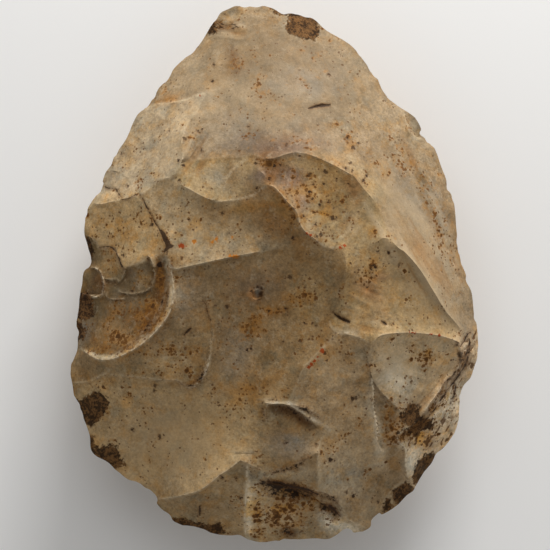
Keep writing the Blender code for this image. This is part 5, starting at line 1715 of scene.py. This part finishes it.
def marked(paint, place, colour):
    """Cracks, dark specks and drops of iron stain, and where the cracks and the specks are."""
    fray = paint.noise(place, 0.55, 17, 3, 0.6) * 0.11 + paint.noise(place, 1.2, 27, 2) * 0.08
    dark = paint.attribute("dark") + fray
    colour = paint.mix(dark.ramp(-0.5, 0.0) * 0.4, colour, solid("rust"))
    broken = paint.noise(place, 0.6, 31, 3, 0.6) * 0.05
    crack = paint.attribute("cracked") + broken + paint.noise(place, 2, 32, 2) * 0.05
    colour = paint.mix(crack.ramp(-0.7, 0.0) * 0.45, colour, solid("rust"))
    colour = paint.mix(crack.ramp(-0.14, 0.1) * 0.9, colour, solid("pitch"))
    core = dark.ramp(-0.10, 0.16)
    faint = paint.noise(place, 4, 29, 2).ramp(-2, 1.5) * 0.3 + 0.62
    colour = paint.mix(core * faint, colour, solid("pitch"))
    orange = (paint.attribute("orange") + fray).ramp(-0.15, 0.15)
    colour = paint.mix(orange * 0.92, colour, solid("orange_drop"))
    red = (paint.attribute("red") + fray).ramp(-0.15, 0.15)
    return paint.mix(red, colour, solid("red_drop")), core + crack.ramp(-0.14, 0.1)


def step_feet_and_edges(paint, place, colour):
    """A darker rust tone at the foot of the steps, and pale edges from wear and painted highlight."""
    step_foot_dark = paint.attribute("step_foot_dark") * paint.noise(place, 0.8, 18, 4, 0.7).ramp(-2.2, 1.0)
    colour = paint.mix(step_foot_dark * 0.6, colour, solid("rust"))
    worn = paint.attribute("worn") * paint.noise(place, 0.9, 19, 3, 0.6).ramp(-2.4, 0.8)
    colour = paint.mix(worn * 0.65, colour, solid("bleached"))
    return paint.mix((worn - 0.6) * 0.9, colour, solid("chalk"))


def patinated_flint():
    paint = Paint("patinated_flint")
    place = paint.make("ShaderNodeTexCoord", {}, {}, "Object")
    colour = streaked(paint, patina(paint, place))
    colour, rust = rusted(paint, place, colour)
    colour = banded(paint, place, colour)
    colour = step_feet_and_edges(paint, place, colour)
    colour = seamed(paint, place, colour)
    colour, crust, crumbs = crusted(paint, place, colour)
    colour, mark = marked(paint, place, colour)
    rind = crust + paint.attribute("band").ramp(-0.5, 0.5)
    fine_pits = paint.noise(place, 0.35, 20, 4, 0.7) * 0.03
    pits = fine_pits + paint.noise(place, 1.6, 21, 4, 0.6) * (rind * 0.09 + 0.032)
    relief = pits + crust * crumbs * 2.2 - mark * 0.6 + rust * 0.2
    heights = {"Strength": BUMP_STRENGTH, "Distance": BUMP_DEPTH * MM, "Height": relief}
    finish = DULLNESS + crust * 0.3 + rust * 0.15 + paint.noise(place, 2, 22) * 0.01
    return paint.finish({
        "Base Color": colour,
        "Roughness": finish,
        "Normal": paint.make("ShaderNodeBump", {}, heights),
        "Specular IOR Level": GLOSS,
    })


# ---------------------------------------------------------------- the floor, the light and the camera


def pale_floor():
    bpy.ops.mesh.primitive_plane_add(size=FLOOR_WIDTH)
    floor = bpy.context.object
    floor.name = "floor"
    board = {"Base Color": (0.88, 0.87, 0.85, 1), "Roughness": 0.9}
    floor.data.materials.append(Paint("pale_board").finish(board))
    return floor


def soft_box(name, bearing, height, size, energy):
    """A square soft light, facing the stone."""
    light = bpy.data.lights.new(name, "AREA")
    light.energy = energy
    light.size = size
    lamp = bpy.data.objects.new(name, light)
    bpy.context.scene.collection.objects.link(lamp)
    bearing, height = math.radians(bearing), math.radians(height)
    east = math.sin(bearing) * math.cos(height)
    north = math.cos(bearing) * math.cos(height)
    lamp.location = LIGHT_DISTANCE * Vector((east, north, math.sin(height)))
    lamp.rotation_euler = (Vector(LIGHT_AIM) - lamp.location).to_track_quat("-Z", "Y").to_euler()


def light_room():
    world = bpy.data.worlds.new("studio")
    bpy.context.scene.world = world
    world.use_nodes = True
    background = world.node_tree.nodes["Background"].inputs
    background["Color"].default_value = (1, 1, 1, 1)
    background["Strength"].default_value = ROOM_LIGHT
    for box in SOFT_BOXES:
        soft_box(*box)


def camera_above():
    camera = bpy.data.cameras.new("above")
    camera.lens = LENS
    camera.sensor_width = SENSOR
    camera.clip_end = 10
    seat = bpy.data.objects.new("above", camera)
    bpy.context.scene.collection.objects.link(seat)
    seat.location = (*VIEW_CENTRE, EYE_LEVEL + VIEW_WIDTH * LENS / SENSOR)
    bpy.context.scene.camera = seat


stone = knapped_stone()
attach(stone, "root")
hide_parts("hand_axe")
pale_floor()
light_room()
camera_above()
bpy.context.scene.view_settings.view_transform = "Standard"
